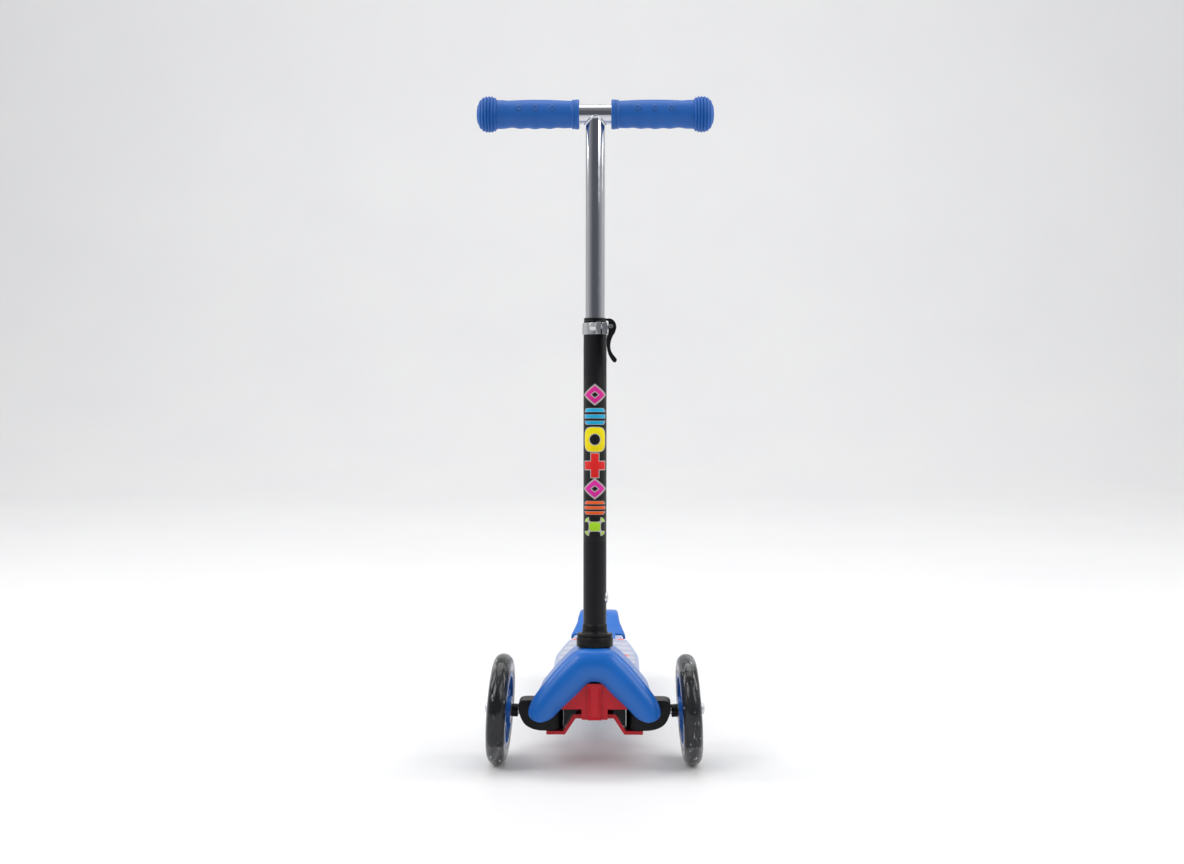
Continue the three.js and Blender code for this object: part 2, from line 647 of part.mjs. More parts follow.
function tubeCollar() {
  const bottom = LOWER_TUBE_TOP - COLLAR_DEPTH;
  const seat = LOWER_TUBE_TOP + GAP;
  const top = seat + COLLAR_HEIGHT;
  const inner = INNER_TUBE_R + GAP;
  const skirt = TUBE_BORE_R - GAP;
  return turned("z", [
    [inner, bottom], [skirt, bottom], [skirt, seat], [COLLAR_R, seat], [COLLAR_R, top - 2.9],
    [COLLAR_R - 0.5, top - 2.5], [COLLAR_R, top - 2.1], [COLLAR_R, top - 0.7],
    [COLLAR_R - 0.7, top], [inner, top],
  ]);
}

// ---------------------------------------------------------------- clamp
function clampBand() {
  const outer = BAND_R + BAND_WALL;
  const band = ring("z", BAND_R, outer, BAND_BOTTOM, BAND_TOP);
  const lugs = block([LUG_LEFT_X, LUG_RIGHT_X], [-LUG_FRONT, -3], [BAND_BOTTOM, BAND_TOP]);
  const slit = block([LUG_SPLIT_X - 0.5, LUG_SPLIT_X + 0.5], [-40, -5], [0, 500]);
  const boltBore = rod("x", CLAMP_BOLT_R + GAP, -20, 40, SMALL_ROUND)
    .translate(0, CLAMP_BOLT_Y, CAM_PIN_HEIGHT);
  const tubeSpace = rod("z", BAND_R, 0, 500);
  return cut(join(band, lugs), tubeSpace, slit, boltBore);
}

function clampBolt() {
  const shank = rod("x", CLAMP_BOLT_R, -6.1, CAM_PIN_X, SMALL_ROUND);
  const eye = rod("y", EYE_R, -EYE_HALF, EYE_HALF, MEDIUM_ROUND).translate(CAM_PIN_X, 0, 0);
  const hole = rod("y", CAM_PIN_R + GAP, -5, 5, SMALL_ROUND).translate(CAM_PIN_X, 0, 0);
  return cut(join(shank, eye), hole).translate(0, CLAMP_BOLT_Y, CAM_PIN_HEIGHT);
}

function clampNut() {
  return hexNut(5, CLAMP_BOLT_R + GAP, -5.2, LUG_LEFT_X - GAP)
    .translate(0, CLAMP_BOLT_Y, CAM_PIN_HEIGHT);
}

function camPin() {
  const [x, z] = [CAM_PIN_X, CAM_PIN_HEIGHT];
  return turned("y", [
    [0, -8.6], [1.8, -8.6], [2.4, -8], [2.4, -7.3], [CAM_PIN_R, -7.3], [CAM_PIN_R, 7], [0, 7],
  ], SMALL_ROUND).translate(x, CLAMP_BOLT_Y, z);
}

// The lever's outline, from its hooked nose over the cam and down the blade to the tip.
function leverOutline() {
  const points = [
    [-7.3, 6.6], [-4.4, 8.2], [0.2, 8], [4, 5], [5.7, 0], [4.6, -5.4], [1.4, -11], [-0.4, -17],
    [-0.8, -23], [0.6, -28.5], [3.6, -33.6], [5.4, -36.4], [4.4, -38.4], [2.2, -37.4],
    [-1.6, -31], [-4.2, -24], [-4.8, -16], [-4.4, -10.4], [-3, -7], [-2.9, 4.6], [-5, 6],
  ];
  const path = new THREE.SplineCurve(points.map((p) => new THREE.Vector2(...p)));
  return new THREE.Shape(path.getPoints(40));
}

function clampLever() {
  const outline = leverOutline();
  const hook = plate("xz", outline, LEVER_FRONT, LEVER_FRONT + HOOK_THICKNESS);
  const lower = block([-3, 12], [-20, 20], [-50, -1]);
  const left = block([-12, 0], [-20, 20], [-50, -8.6]);
  const room = join(lower, left);
  const blade = common(plate("xz", outline, LEVER_FRONT + HOOK_THICKNESS - 0.2, LEVER_BACK), room);
  const cheek = rod("y", 2.9, EYE_HALF + 0.6, LEVER_BACK, MEDIUM_ROUND);
  const eyeSpace = rod("y", EYE_R + 0.8, -EYE_HALF - 0.3, EYE_HALF + 0.3, MEDIUM_ROUND);
  const pinBore = rod("y", CAM_PIN_R + GAP, -20, 20, SMALL_ROUND);
  return cut(join(hook, cut(blade, eyeSpace), cheek), pinBore)
    .translate(CAM_PIN_X, CLAMP_BOLT_Y, CAM_PIN_HEIGHT);
}

// ---------------------------------------------------------------- handlebar
function tBar() {
  const bar = rod("x", BAR_R, -BAR_HALF, BAR_HALF).translate(0, 0, BAR_HEIGHT);
  const stem = rod("z", INNER_TUBE_R, INNER_TUBE_BOTTOM, BAR_HEIGHT);
  const barBore = rod("x", BAR_R - BAR_WALL, -BAR_HALF - 1, BAR_HALF + 1)
    .translate(0, 0, BAR_HEIGHT);
  const stemBore = rod("z", INNER_TUBE_R - INNER_TUBE_WALL, INNER_TUBE_BOTTOM - 1,
    BAR_HEIGHT - BAR_R - 1);
  return cut(join(bar, stem), barBore, stemBore);
}

function innerTubePlug() {
  const bore = INNER_TUBE_R - INNER_TUBE_WALL - GAP;
  const flange = TUBE_BORE_R - GAP;
  const [top, bottom] = [INNER_TUBE_BOTTOM - GAP, INNER_TUBE_BOTTOM - 6];
  return turned("z", [
    [bore - 1.6, bottom], [flange, bottom], [flange, top], [bore, top], [bore, top + 14],
    [bore - 1.6, top + 14],
  ]);
}

function grip() {
  const bore = BAR_R + GAP;
  const flangeEnd = GRIP_START + FLANGE_WIDTH;
  const ballStart = GRIP_END - BALL_WIDTH;
  const profile = [[bore, GRIP_START], [FLANGE_R, GRIP_START], [FLANGE_R, flangeEnd]];
  const steps = 6;
  for (let i = 0; i <= steps; i++) {
    const along = i / steps;
    const swell = Math.sin(along * Math.PI);
    const x = flangeEnd + 0.8 + (ballStart - flangeEnd - 1.6) * along;
    profile.push([GRIP_WAIST_R + (GRIP_R - GRIP_WAIST_R) * swell, x]);
  }
  for (let i = 0; i < 7; i++) {
    const angle = (-68 + i * 26) * DEG;
    const r = BALL_R * Math.cos(angle) ** 0.7;
    profile.push([r, GRIP_END - BALL_WIDTH / 2 + (BALL_WIDTH / 2) * Math.sin(angle)]);
  }
  profile.push([0, GRIP_END], [0, BAR_HALF + GAP], [bore, BAR_HALF + GAP]);
  return turned("x", profile);
}

// ---------------------------------------------------------------- deck
function deckShape(inset) {
  const half = DECK_HALF - inset;
  return rounded(mirrored([
    [30 - inset * 0.6, DECK_FRONT + inset], [half, DECK_FRONT + 42], [half, DECK_TAIL - 143],
    [half - 0.6, DECK_TAIL - 111], [43.5 - inset, DECK_TAIL - 59], [36.8 - inset, DECK_TAIL - 9],
    [DECK_TAIL_HALF - inset, DECK_TAIL - inset],
  ]), 16);
}

function deck() {
  const slab = plate("xy", deckShape(0), DECK_BOTTOM, DECK_TOP);
  const hollow = plate("xy", deckShape(DECK_WALL), DECK_BOTTOM - 1, DECK_SKIN_UNDER);
  const pitch = (DECK_TAIL - TONGUE_END) / (DECK_RIBS + 1);
  const ribs = Array.from({ length: DECK_RIBS }, (_, i) => {
    const y = TONGUE_END + pitch * (i + 0.5);
    return common(block([-60, 60], [y - 1.5, y + 1.5], [DECK_BOTTOM + 2, DECK_TOP - 1]),
      plate("xy", deckShape(1), DECK_BOTTOM, DECK_TOP));
  });
  const spine = block([-1.5, 1.5], [TONGUE_END + pitch * 0.5, DECK_TAIL - 2],
    [DECK_BOTTOM + 2, DECK_TOP - 1]);
  const doorway = block([-TONGUE_HALF, TONGUE_HALF], [DECK_FRONT - 2, DECK_FRONT + 8],
    [DECK_BOTTOM - 1, DECK_SKIN_UNDER]);
  const pilots = screwPlaces().map(([x, y]) =>
    rod("z", SCREW_R + GAP, DECK_BOTTOM, DECK_TOP - 0.8, SMALL_ROUND).translate(x, y, 0));
  const bridge = block([-PRONG_OUTER, PRONG_OUTER], [DECK_TAIL - 12, BRIDGE_BACK],
    [BRIDGE_BOTTOM, BRIDGE_TOP]);
  const tray = join(cut(slab, hollow), ...ribs, spine, bridge, ...prongs(), ...hingeEars());
  const barrelSpace = rod("x", BARREL_R + 0.8, -BARREL_HALF - GAP, BARREL_HALF + GAP)
    .translate(0, HINGE_Y, HINGE_Z);
  const pinBore = rod("x", HINGE_PIN_R + GAP, -60, 60, SMALL_ROUND)
    .translate(0, HINGE_Y, HINGE_Z);
  const axleBore = rod("x", AXLE_R + GAP, -60, 60, SMALL_ROUND)
    .translate(0, WHEELBASE, REAR_R);
  return cut(tray, doorway, ...pilots, barrelSpace, pinBore, axleBore);
}

function prongs() {
  const shape = new THREE.Shape();
  shape.moveTo(DECK_TAIL - 12, BRIDGE_BOTTOM);
  shape.lineTo(DECK_TAIL - 12, BRIDGE_TOP + 2);
  shape.lineTo(DECK_TAIL + 30, BRIDGE_TOP);
  shape.lineTo(WHEELBASE + 2, REAR_R + 15);
  shape.absarc(WHEELBASE, REAR_R, 15, 82 * DEG, -110 * DEG, true);
  shape.closePath();
  return [-PRONG_OUTER, PRONG_INNER].map((from) =>
    plate("yz", shape, from, from + PRONG_OUTER - PRONG_INNER));
}

function hingeEars() {
  const shape = new THREE.Shape();
  shape.moveTo(DECK_TAIL - 12, DECK_BOTTOM + 1);
  shape.lineTo(DECK_TAIL - 12, DECK_TOP - 1);
  shape.lineTo(DECK_TAIL - 2, DECK_TOP - 1);
  shape.absarc(HINGE_Y, HINGE_Z, 7, 110 * DEG, -60 * DEG, true);
  shape.lineTo(HINGE_Y, DECK_BOTTOM + 1);
  shape.closePath();
  const width = EAR_END - BARREL_HALF - GAP;
  return [-EAR_END, BARREL_HALF + GAP].map((from) => plate("yz", shape, from, from + width));
}

function deckPad() {
  const seat = DECK_TOP + GAP;
  return plate("xy", deckShape(PAD_BORDER), seat, seat + PAD_THICKNESS);
}

// ---------------------------------------------------------------- rear axle and brake
function rearSpacer(side) {
  const inner = WHEEL_WIDTH / 2 + GAP;
  const outer = PRONG_INNER - GAP;
  const [from, to] = side > 0 ? [inner, outer] : [-outer, -inner];
  return ring("x", AXLE_R + GAP, 7, from, to, MEDIUM_ROUND);
}

function arcPoints(radius, fromAngle, toAngle, steps) {
  return Array.from({ length: steps + 1 }, (_, i) => {
    const angle = fromAngle + ((toAngle - fromAngle) * i) / steps;
    return [WHEELBASE + radius * Math.cos(angle), REAR_R + radius * Math.sin(angle)];
  });
}

// The fender's side view: a ramp from the hinge, then an arc round the wheel.
function fenderSide(top, bottom) {
  const front = (radius) => {
    const [y, z] = arcPoints(radius, FENDER_FRONT_ANGLE, FENDER_FRONT_ANGLE, 1)[0];
    const run = y - HINGE_Y - 2;
    return [HINGE_Y + 2, z - run * Math.tan(FENDER_FRONT_ANGLE - 90 * DEG)];
  };
  return shapeOf([
    front(bottom), front(top),
    ...arcPoints(top, FENDER_FRONT_ANGLE, FENDER_REAR_ANGLE, 10),
    ...arcPoints(bottom, FENDER_REAR_ANGLE, FENDER_FRONT_ANGLE, 10),
  ]);
}

function fenderPlan(inset) {
  return shapeOf(mirrored([
    [FENDER_BASE_HALF - inset, HINGE_Y - 10], [FENDER_BASE_HALF - inset, HINGE_Y + 12],
    [FENDER_HALF + 2 - inset, WHEELBASE - 30], [FENDER_HALF - inset, WHEELBASE - 8],
    [FENDER_HALF - 1 - inset, FENDER_REAR + 5],
  ]));
}

function brakeFender() {
  const skirtR = FENDER_R - FENDER_SKIRT;
  const outside = common(plate("yz", fenderSide(FENDER_R, skirtR), -60, 60),
    plate("xy", fenderPlan(0), 0, 200));
  const inside = common(plate("yz", fenderSide(FENDER_R - FENDER_WALL, skirtR - 20), -60, 60),
    plate("xy", fenderPlan(FENDER_WALL), 0, 200));
  const earSpace = block([-60, 60], [HINGE_Y - 20, HINGE_Y + 8.5], [HINGE_Z - 20, HINGE_Z + 30]);
  const web = plate("yz", shapeOf([
    [HINGE_Y, HINGE_Z + BARREL_R], [HINGE_Y + 16, HINGE_Z + 13], [HINGE_Y + 16, HINGE_Z + 7],
    [HINGE_Y, HINGE_Z - BARREL_R + 2],
  ]), -BARREL_HALF, BARREL_HALF);
  const barrel = rod("x", BARREL_R, -BARREL_HALF, BARREL_HALF).translate(0, HINGE_Y, HINGE_Z);
  const pinBore = rod("x", HINGE_PIN_R + GAP, -60, 60, SMALL_ROUND)
    .translate(0, HINGE_Y, HINGE_Z);
  return cut(join(cut(outside, inside, earSpace), web, barrel), pinBore);
}

function brakePad() {
  const outer = FENDER_R - FENDER_WALL - GAP;
  const inner = REAR_R + PAD_GAP;
  const [from, to] = [92 * DEG, 108 * DEG];
  const shape = shapeOf([...arcPoints(outer, from, to, 3), ...arcPoints(inner, to, from, 3)]);
  return plate("yz", shape, -BRAKE_PAD_HALF, BRAKE_PAD_HALF);
}

function hingePin() {
  const end = EAR_END + 2;
  return turned("x", [
    [0, -end], [HINGE_PIN_R + 1.6, -end], [HINGE_PIN_R + 1.6, -EAR_END - GAP],
    [HINGE_PIN_R, -EAR_END - GAP], [HINGE_PIN_R, end], [0, end],
  ], SMALL_ROUND).translate(0, HINGE_Y, HINGE_Z);
}

// ---------------------------------------------------------------- assembly
function frontCorner(side) {
  const label = side > 0 ? "right" : "left";
  const headStart = WHEEL_WIDTH / 2 + GAP;
  const armFace = (ARM_END_X - TRACK_HALF) / Math.cos(CAMBER) + GAP + 0.8;
  const onWheel = group(
    piece(`${label}_tyre`, tyre(FRONT_R, FRONT_TYRE_BORE_R), FINISH.clear),
    piece(`${label}_wheel_core`, frontCore(), FINISH.blue),
    piece(`${label}_outer_bearing`, bearing(1), FINISH.steel),
    piece(`${label}_inner_bearing`, bearing(-1), FINISH.steel),
    piece(`${label}_axle_bolt`, axleBolt(headStart, ARM_NUT_FROM - 1), FINISH.steel),
    piece(`${label}_axle_spacer`, ring("x", AXLE_R + GAP, 7, armFace, -headStart, MEDIUM_ROUND),
      FINISH.black),
    piece(`${label}_axle_nut`, hexNut(7.4, AXLE_R + GAP, ARM_NUT_FROM, ARM_NUT_TO), FINISH.steel),
  );
  onWheel.applyMatrix4(wheelFrame(side));
  return group(
    piece(`${label}_steering_arm`, steeringArm(side), FINISH.black),
    piece(`${label}_kingpin`, kingpin(side), FINISH.steel),
    onWheel,
  );
}

function chassisPieces() {
  const springBottom = ROOF_TOP + GAP;
  const springTop = PIVOT_Z - 2 - 2.4;
  const springs = [-1, 1].map((side) => piece(
    side > 0 ? "right_centring_spring" : "left_centring_spring",
    coil(6, 1.8, springBottom, springTop, 4).translate(side * 24, 0, 0), FINISH.steel));
  return group(
    piece("chassis_nose", chassisNose(), FINISH.red),
    piece("deck", deck(), FINISH.deck),
    piece("deck_pad", deckPad(), FINISH.pad),
    piece("tie_rod", tieRod(), FINISH.black),
    ...screwPlaces().map((place, i) =>
      piece(`chassis_screw_${i + 1}`, chassisScrew(place), FINISH.steel)),
    ...springs,
    piece("left_lean_stop", leanStop(-1), FINISH.black),
    piece("right_lean_stop", leanStop(1), FINISH.black),
  );
}

function rearPieces() {
  const onAxle = group(
    piece("rear_tyre", tyre(REAR_R, REAR_TYRE_BORE_R), FINISH.clear),
    piece("rear_wheel_core", rearCore(), FINISH.blue),
    piece("rear_left_bearing", bearing(-1), FINISH.steel),
    piece("rear_right_bearing", bearing(1), FINISH.steel),
    piece("rear_axle_bolt", axleBolt(PRONG_OUTER + GAP, -PRONG_OUTER - 8), FINISH.steel),
    piece("rear_axle_nut", hexNut(7, AXLE_R + GAP, -PRONG_OUTER - 6.5, -PRONG_OUTER - GAP),
      FINISH.steel),
    piece("rear_left_spacer", rearSpacer(-1), FINISH.black),
    piece("rear_right_spacer", rearSpacer(1), FINISH.black),
  );
  onAxle.position.set(0, WHEELBASE, REAR_R);
  const springY = BRIDGE_BACK - 6;
  return group(
    onAxle,
    piece("brake_fender", brakeFender(), FINISH.blue),
    piece("brake_pad", brakePad(), FINISH.black),
    piece("brake_hinge_pin", hingePin(), FINISH.steel),
    piece("brake_spring", coil(4.5, 1.2, BRIDGE_TOP + GAP, BRIDGE_TOP + 14, 4)
      .translate(0, springY, 0), FINISH.steel),
  );
}

function stemPieces() {
  const made = group(
    piece("lean_pivot_bolt", pivotBolt(), FINISH.steel),
    piece("lean_pivot_nut", pivotNut(), FINISH.steel),
    piece("steering_head", steeringHead(), FINISH.black),
    piece("steering_hood", steeringHood(), FINISH.blue),
    piece("stem_socket", stemSocket(), FINISH.black),
    piece("release_button", releaseButton(), FINISH.black),
    piece("button_spring", buttonSpring(), FINISH.steel),
    piece("lower_tube", lowerTube(), FINISH.blackTube),
    piece("tube_collar", tubeCollar(), FINISH.black),
    piece("clamp_band", clampBand(), FINISH.steel),
    piece("clamp_bolt", clampBolt(), FINISH.steel),
    piece("clamp_nut", clampNut(), FINISH.steel),
    piece("cam_pin", camPin(), FINISH.steel),
    piece("clamp_lever", clampLever(), FINISH.black),
    piece("t_bar", tBar(), FINISH.chrome),
    piece("inner_tube_plug", innerTubePlug(), FINISH.black),
    piece("right_grip", grip().translate(0, 0, BAR_HEIGHT), FINISH.blueRubber),
    piece("left_grip", grip().rotateZ(Math.PI).translate(0, 0, BAR_HEIGHT), FINISH.blueRubber),
  );
  made.applyMatrix4(stemFrame);
  return made;
}

const scooter = group(
  chassisPieces(),
  frontCorner(-1),
  frontCorner(1),
  rearPieces(),
  stemPieces(),
);
scooter.position.y = -CENTRE_Y;

export default group(scooter);
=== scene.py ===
"""The looks of a child's kick scooter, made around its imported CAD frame. Lengths are in
millimetres until they go into a mesh, which is in metres."""
import json
import math

import bmesh
import bpy
import numpy as np
from bpy.props import FloatProperty, FloatVectorProperty, PointerProperty
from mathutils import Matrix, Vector


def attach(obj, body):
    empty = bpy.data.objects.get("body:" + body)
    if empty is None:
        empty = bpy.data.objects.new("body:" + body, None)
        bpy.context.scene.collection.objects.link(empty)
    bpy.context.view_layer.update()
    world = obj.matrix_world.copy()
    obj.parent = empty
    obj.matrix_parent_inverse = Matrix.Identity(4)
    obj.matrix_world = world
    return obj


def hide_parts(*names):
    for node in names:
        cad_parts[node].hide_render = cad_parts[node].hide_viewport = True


bl_info = {
    "name": "Kick Scooter Maker",
    "version": (1, 0, 0),
    "blender": (4, 5, 0),
    "location": "View3D > Sidebar > Scooter",
    "description": "Builds the visible pieces and finishes of a child's kick scooter",
    "category": "Add Mesh",
}

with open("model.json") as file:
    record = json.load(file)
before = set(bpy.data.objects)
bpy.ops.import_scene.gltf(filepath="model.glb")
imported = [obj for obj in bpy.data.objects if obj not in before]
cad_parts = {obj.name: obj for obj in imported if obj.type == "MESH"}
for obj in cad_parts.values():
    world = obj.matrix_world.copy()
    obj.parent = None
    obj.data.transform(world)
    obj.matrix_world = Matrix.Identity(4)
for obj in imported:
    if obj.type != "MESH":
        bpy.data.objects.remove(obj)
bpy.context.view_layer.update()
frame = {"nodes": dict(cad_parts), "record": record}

MM = 0.001
JOINTS = {joint["name"]: joint for joint in frame["record"]["behaviour"]["joints"]}
FRONT_AXLE_Y = JOINTS["left_wheel_spin"]["pos_m"][1]
REAR_AXLE = np.array(JOINTS["rear_wheel_spin"]["pos_m"]) / MM
WHEELBASE = REAR_AXLE[1] - FRONT_AXLE_Y / MM
PIVOT = np.array(JOINTS["lean"]["pos_m"]) / MM
STEM_UP = np.array(JOINTS["height"]["axis"])
STEM_BACK = np.array([0.0, STEM_UP[2], -STEM_UP[1]])


# --- frames: local mm to row metres
def chassis_frame(points):
    """Design place to row place: Y is counted from the front axle line."""
    return (points + np.array([0.0, FRONT_AXLE_Y / MM, 0.0])) * MM


def along(points, origin, x_way, y_way, z_way):
    """origin + x X + y Y + z Z for points in a frame of three square directions."""
    x, y, z = points[..., 0:1], points[..., 1:2], points[..., 2:3]
    return (origin + x * x_way + y * y_way + z * z_way) * MM


def stem_frame(points):
    """x stays, y runs back across the stem and z runs up along it, from the lean pivot."""
    return along(points, PIVOT, np.array([1.0, 0.0, 0.0]), STEM_BACK, STEM_UP)


def wheel_frame(side):
    """x runs outwards along the axle from the wheel's centre, z runs up the wheel."""
    joint = JOINTS[side_name(side) + "_wheel_spin"]
    centre = np.array(joint["pos_m"]) / MM
    out = np.array(joint["axis"]) * side
    across = np.array([-out[1], out[0], 0.0])
    across /= np.linalg.norm(across)
    return lambda points: along(points, centre, out, across, np.cross(out, across))


def rear_frame(points):
    """x runs along the rear axle, the centre of the rear wheel is the origin."""
    return (points + REAR_AXLE) * MM


# --- curves
def smooth_path(points, count):
    """Catmull-Rom curve through the points, sampled evenly in its parameter."""
    p = np.asarray(points, float)
    p = np.vstack([2 * p[0] - p[1], p, 2 * p[-1] - p[-2]])
    t = np.linspace(0, len(p) - 3 - 1e-9, count)
    i = t.astype(int)
    f = (t - i)[:, None]
    a, b, c, d = p[i], p[i + 1], p[i + 2], p[i + 3]
    return 0.5 * (2 * b + (c - a) * f + (2 * a - 5 * b + 4 * c - d) * f**2
                  + (3 * b - a - 3 * c + d) * f**3)


def softened(points, reach, steps=4):
    """A closed outline whose corners become quadratic arcs that start reach before each corner."""
    p = np.asarray(points, float)
    out = []
    for i, corner in enumerate(p):
        ends = []
        for neighbour in (p[i - 1], p[(i + 1) % len(p)]):
            away = neighbour - corner
            ends.append(corner + away * min(reach / max(np.linalg.norm(away), 1e-9), 0.45))
        for t in np.linspace(0, 1, steps + 1):
            out.append((1 - t)**2 * ends[0] + 2 * t * (1 - t) * corner + t**2 * ends[1])
    return np.array(out)


def mirrored(half):
    """A half outline on the +x side, completed by its mirror image."""
    half = np.asarray(half, float)
    return np.vstack([half, half[::-1] * [-1, 1]])


def arc(radius, start, stop, steps):
    """Points on a circle about the origin between two angles in degrees."""
    a = np.radians(np.linspace(start, stop, steps + 1))
    return np.column_stack([radius * np.cos(a), radius * np.sin(a)])


def smoothstep(low, high, value):
    """0 at low, 1 at high, 3 t^2 - 2 t^3 in between; high may be the smaller."""
    t = np.clip((value - low) / (high - low), 0, 1)
    return t * t * (3 - 2 * t)


# --- surfaces
PLANES = {"xy": (0, 1, 2), "xz": (0, 2, 1), "yz": (1, 2, 0)}
PIECE_EDGE_ANGLE, NODE_EDGE_ANGLE = 32, 40


class Surface:
    """Collects the patches of one piece as points and faces."""

    def __init__(self, place=chassis_frame):
        self.place = place
        self.points = []
        self.faces = []
        self.count = 0

    def grid(self, points, wrap_rows=False, wrap_columns=False):
        """Joins the neighbours of a rows by columns array of points with quads."""
        rows, columns = points.shape[:2]
        index = np.arange(rows * columns).reshape(rows, columns) + self.count
        if wrap_rows:
            index = np.vstack([index, index[:1]])
        if wrap_columns:
            index = np.hstack([index, index[:, :1]])
        quads = np.stack([index[:-1, :-1], index[1:, :-1], index[1:, 1:], index[:-1, 1:]], -1)
        self.faces += quads.reshape(-1, 4).tolist()
        self.points.append(points.reshape(-1, 3))
        self.count += rows * columns
        return self

    def turned(self, axis, profile, segments=96, centre=(0, 0, 0), scale=None):
        """Each profile point (radius r, place a) goes round the axis: r cos t, r sin t. A scale
        is a function of place and angle that the radius is multiplied by."""
        profile = np.asarray(profile, float)
        t = np.linspace(0, 2 * np.pi, segments, endpoint=False)
        r = profile[:, :1] * (scale(profile[:, 1:2], t[None]) if scale else np.ones((1, segments)))
        a = np.broadcast_to(profile[:, 1:2], r.shape)
        u, v = r * np.cos(t), r * np.sin(t)
        order = {"x": (a, u, v), "y": (v, a, u), "z": (u, v, a)}[axis]
        ring = np.stack(order, -1) + np.asarray(centre, float)
        hollow = profile[0, 0] > 0 and profile[-1, 0] > 0
        return self.grid(ring, wrap_rows=hollow, wrap_columns=True)

    def prism(self, plane, outline, low, high):
        """A flat outline in a plane, closed by two faces at low and high on the axis across it."""
        a, b, c = PLANES[plane]
        outline = np.asarray(outline, float)
        both = np.zeros((2, len(outline), 3))
        both[..., a], both[..., b] = outline[:, 0], outline[:, 1]
        both[0, :, c], both[1, :, c] = low, high
        return self.capped(both)

    def capped(self, rings):
        """A tube of rings of points, its first and last ring closed by one face each."""
        start, (rows, columns) = self.count, rings.shape[:2]
        self.grid(rings, wrap_columns=True)
        for first in (start, start + (rows - 1) * columns):
            self.faces.append(list(range(first, first + columns)))
        return self

    def looped(self, path, radius, sides):
        """A round section carried round a closed path: its two directions are square to it."""
        ahead = np.roll(path, -1, 0) - np.roll(path, 1, 0)
        ahead /= np.linalg.norm(ahead, axis=1, keepdims=True)
        side = np.cross(ahead, np.array([0.0, 0.0, 1.0]))
        side /= np.linalg.norm(side, axis=1, keepdims=True)
        up = np.cross(side, ahead)
        t = np.linspace(0, 2 * np.pi, sides, endpoint=False)[None, :, None]
        ring = path[:, None] + radius[:, None, None] * (np.cos(t) * side[:, None]
                                                        + np.sin(t) * up[:, None])
        return self.grid(ring, wrap_rows=True, wrap_columns=True)

    def piece(self, name, body, finish, replaces=(), bevel=0.0, sharp=38, merge=1e-6,
              segments=3, uv=None):
        """Makes the mesh: doubles merged, faces turned outwards, then the finishing bevel."""
        mesh = bpy.data.meshes.new(name)
        points = self.place(np.vstack(self.points))
        mesh.from_pydata(points.tolist(), [], self.faces)
        if uv is not None:
            layer = mesh.uv_layers.new(name="UVMap")
            corner = np.empty(len(mesh.loops), np.int32)
            mesh.loops.foreach_get("vertex_index", corner)
            layer.data.foreach_set("uv", np.asarray(uv, np.float32)[corner].ravel())
        work = bmesh.new()
        work.from_mesh(mesh)
        bmesh.ops.remove_doubles(work, verts=work.verts, dist=merge)
        bmesh.ops.dissolve_degenerate(work, edges=work.edges, dist=1e-7)
        bmesh.ops.recalc_face_normals(work, faces=work.faces)
        work.to_mesh(mesh)
        work.free()
        mesh.shade_smooth()
        mesh.set_sharp_from_angle(angle=math.radians(sharp))
        mesh.materials.append(FINISHES[finish])
        made = bpy.data.objects.new(name, mesh)
        bpy.context.scene.collection.objects.link(made)
        if bevel:
            soften_edges(made, bevel, segments, PIECE_EDGE_ANGLE)
        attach(made, body)
        if replaces:
            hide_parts(*replaces)
        return made


def soften_edges(made, width, segments, angle):
    """Rounds, by a width in mm, every edge that turns by more than the angle in degrees."""
    edge = made.modifiers.new("edges", "BEVEL")
    edge.width = width * MM
    edge.segments = segments
    edge.limit_method = "ANGLE"
    edge.angle_limit = math.radians(angle)
    edge.harden_normals = True


def make_wall(made, facing, thickness):
    """Flips an open shell that looks away from facing, then gives it a wall on its inner side."""
    mesh = made.data
    count = len(mesh.polygons)
    normals, areas = np.empty(count * 3), np.empty(count)
    mesh.polygons.foreach_get("normal", normals)
    mesh.polygons.foreach_get("area", areas)
    if (normals.reshape(-1, 3) @ np.array(facing) * areas).sum() < 0:
        mesh.flip_normals()
    wall = made.modifiers.new("wall", "SOLIDIFY")
    wall.thickness = thickness
    wall.offset = -1.0


# --- shader maths
def maths(operation, swapped=False):
    """A Wire method that feeds the wire and its operands to one maths node."""
    def method(wire, *others):
        values = (*others, wire) if swapped else (wire, *others)
        return wire.shop.node("ShaderNodeMath", {"operation": operation},
                              dict(enumerate(values)))
    return method


class Wire:
    """A node socket that takes part in Python arithmetic."""

    def __init__(self, shop, socket):
        self.shop = shop
        self.socket = socket

    __add__, __radd__ = maths("ADD"), maths("ADD", swapped=True)
    __sub__, __rsub__ = maths("SUBTRACT"), maths("SUBTRACT", swapped=True)
    __mul__, __truediv__, __abs__ = maths("MULTIPLY"), maths("DIVIDE"), maths("ABSOLUTE")
    __lt__, __gt__ = maths("LESS_THAN"), maths("GREATER_THAN")
    least, most, fract, power = (maths("MINIMUM"), maths("MAXIMUM"), maths("FRACT"),
                                 maths("POWER"))

    def smooth(self, low, high):
        """0 at low, 1 at high, easing in between; high may be the smaller."""
        ends = (low, high, 0.0, 1.0) if low < high else (high, low, 1.0, 0.0)
        sockets = ("From Min", "From Max", "To Min", "To Max")
        return self.shop.node("ShaderNodeMapRange", {"interpolation_type": "SMOOTHSTEP"},
                              {"Value": self, **dict(zip(sockets, ends))})


NOISE_ROUGHNESS = 0.55
FINE_BUMP = 0.2 * MM
MARK_PLACES = (46 * MM, 64 * MM, 82 * MM)
MARK_RISE, MARK_R = 5.5 * MM, 2.4 * MM
FILM_BLACK = (0.006, 0.006, 0.007)


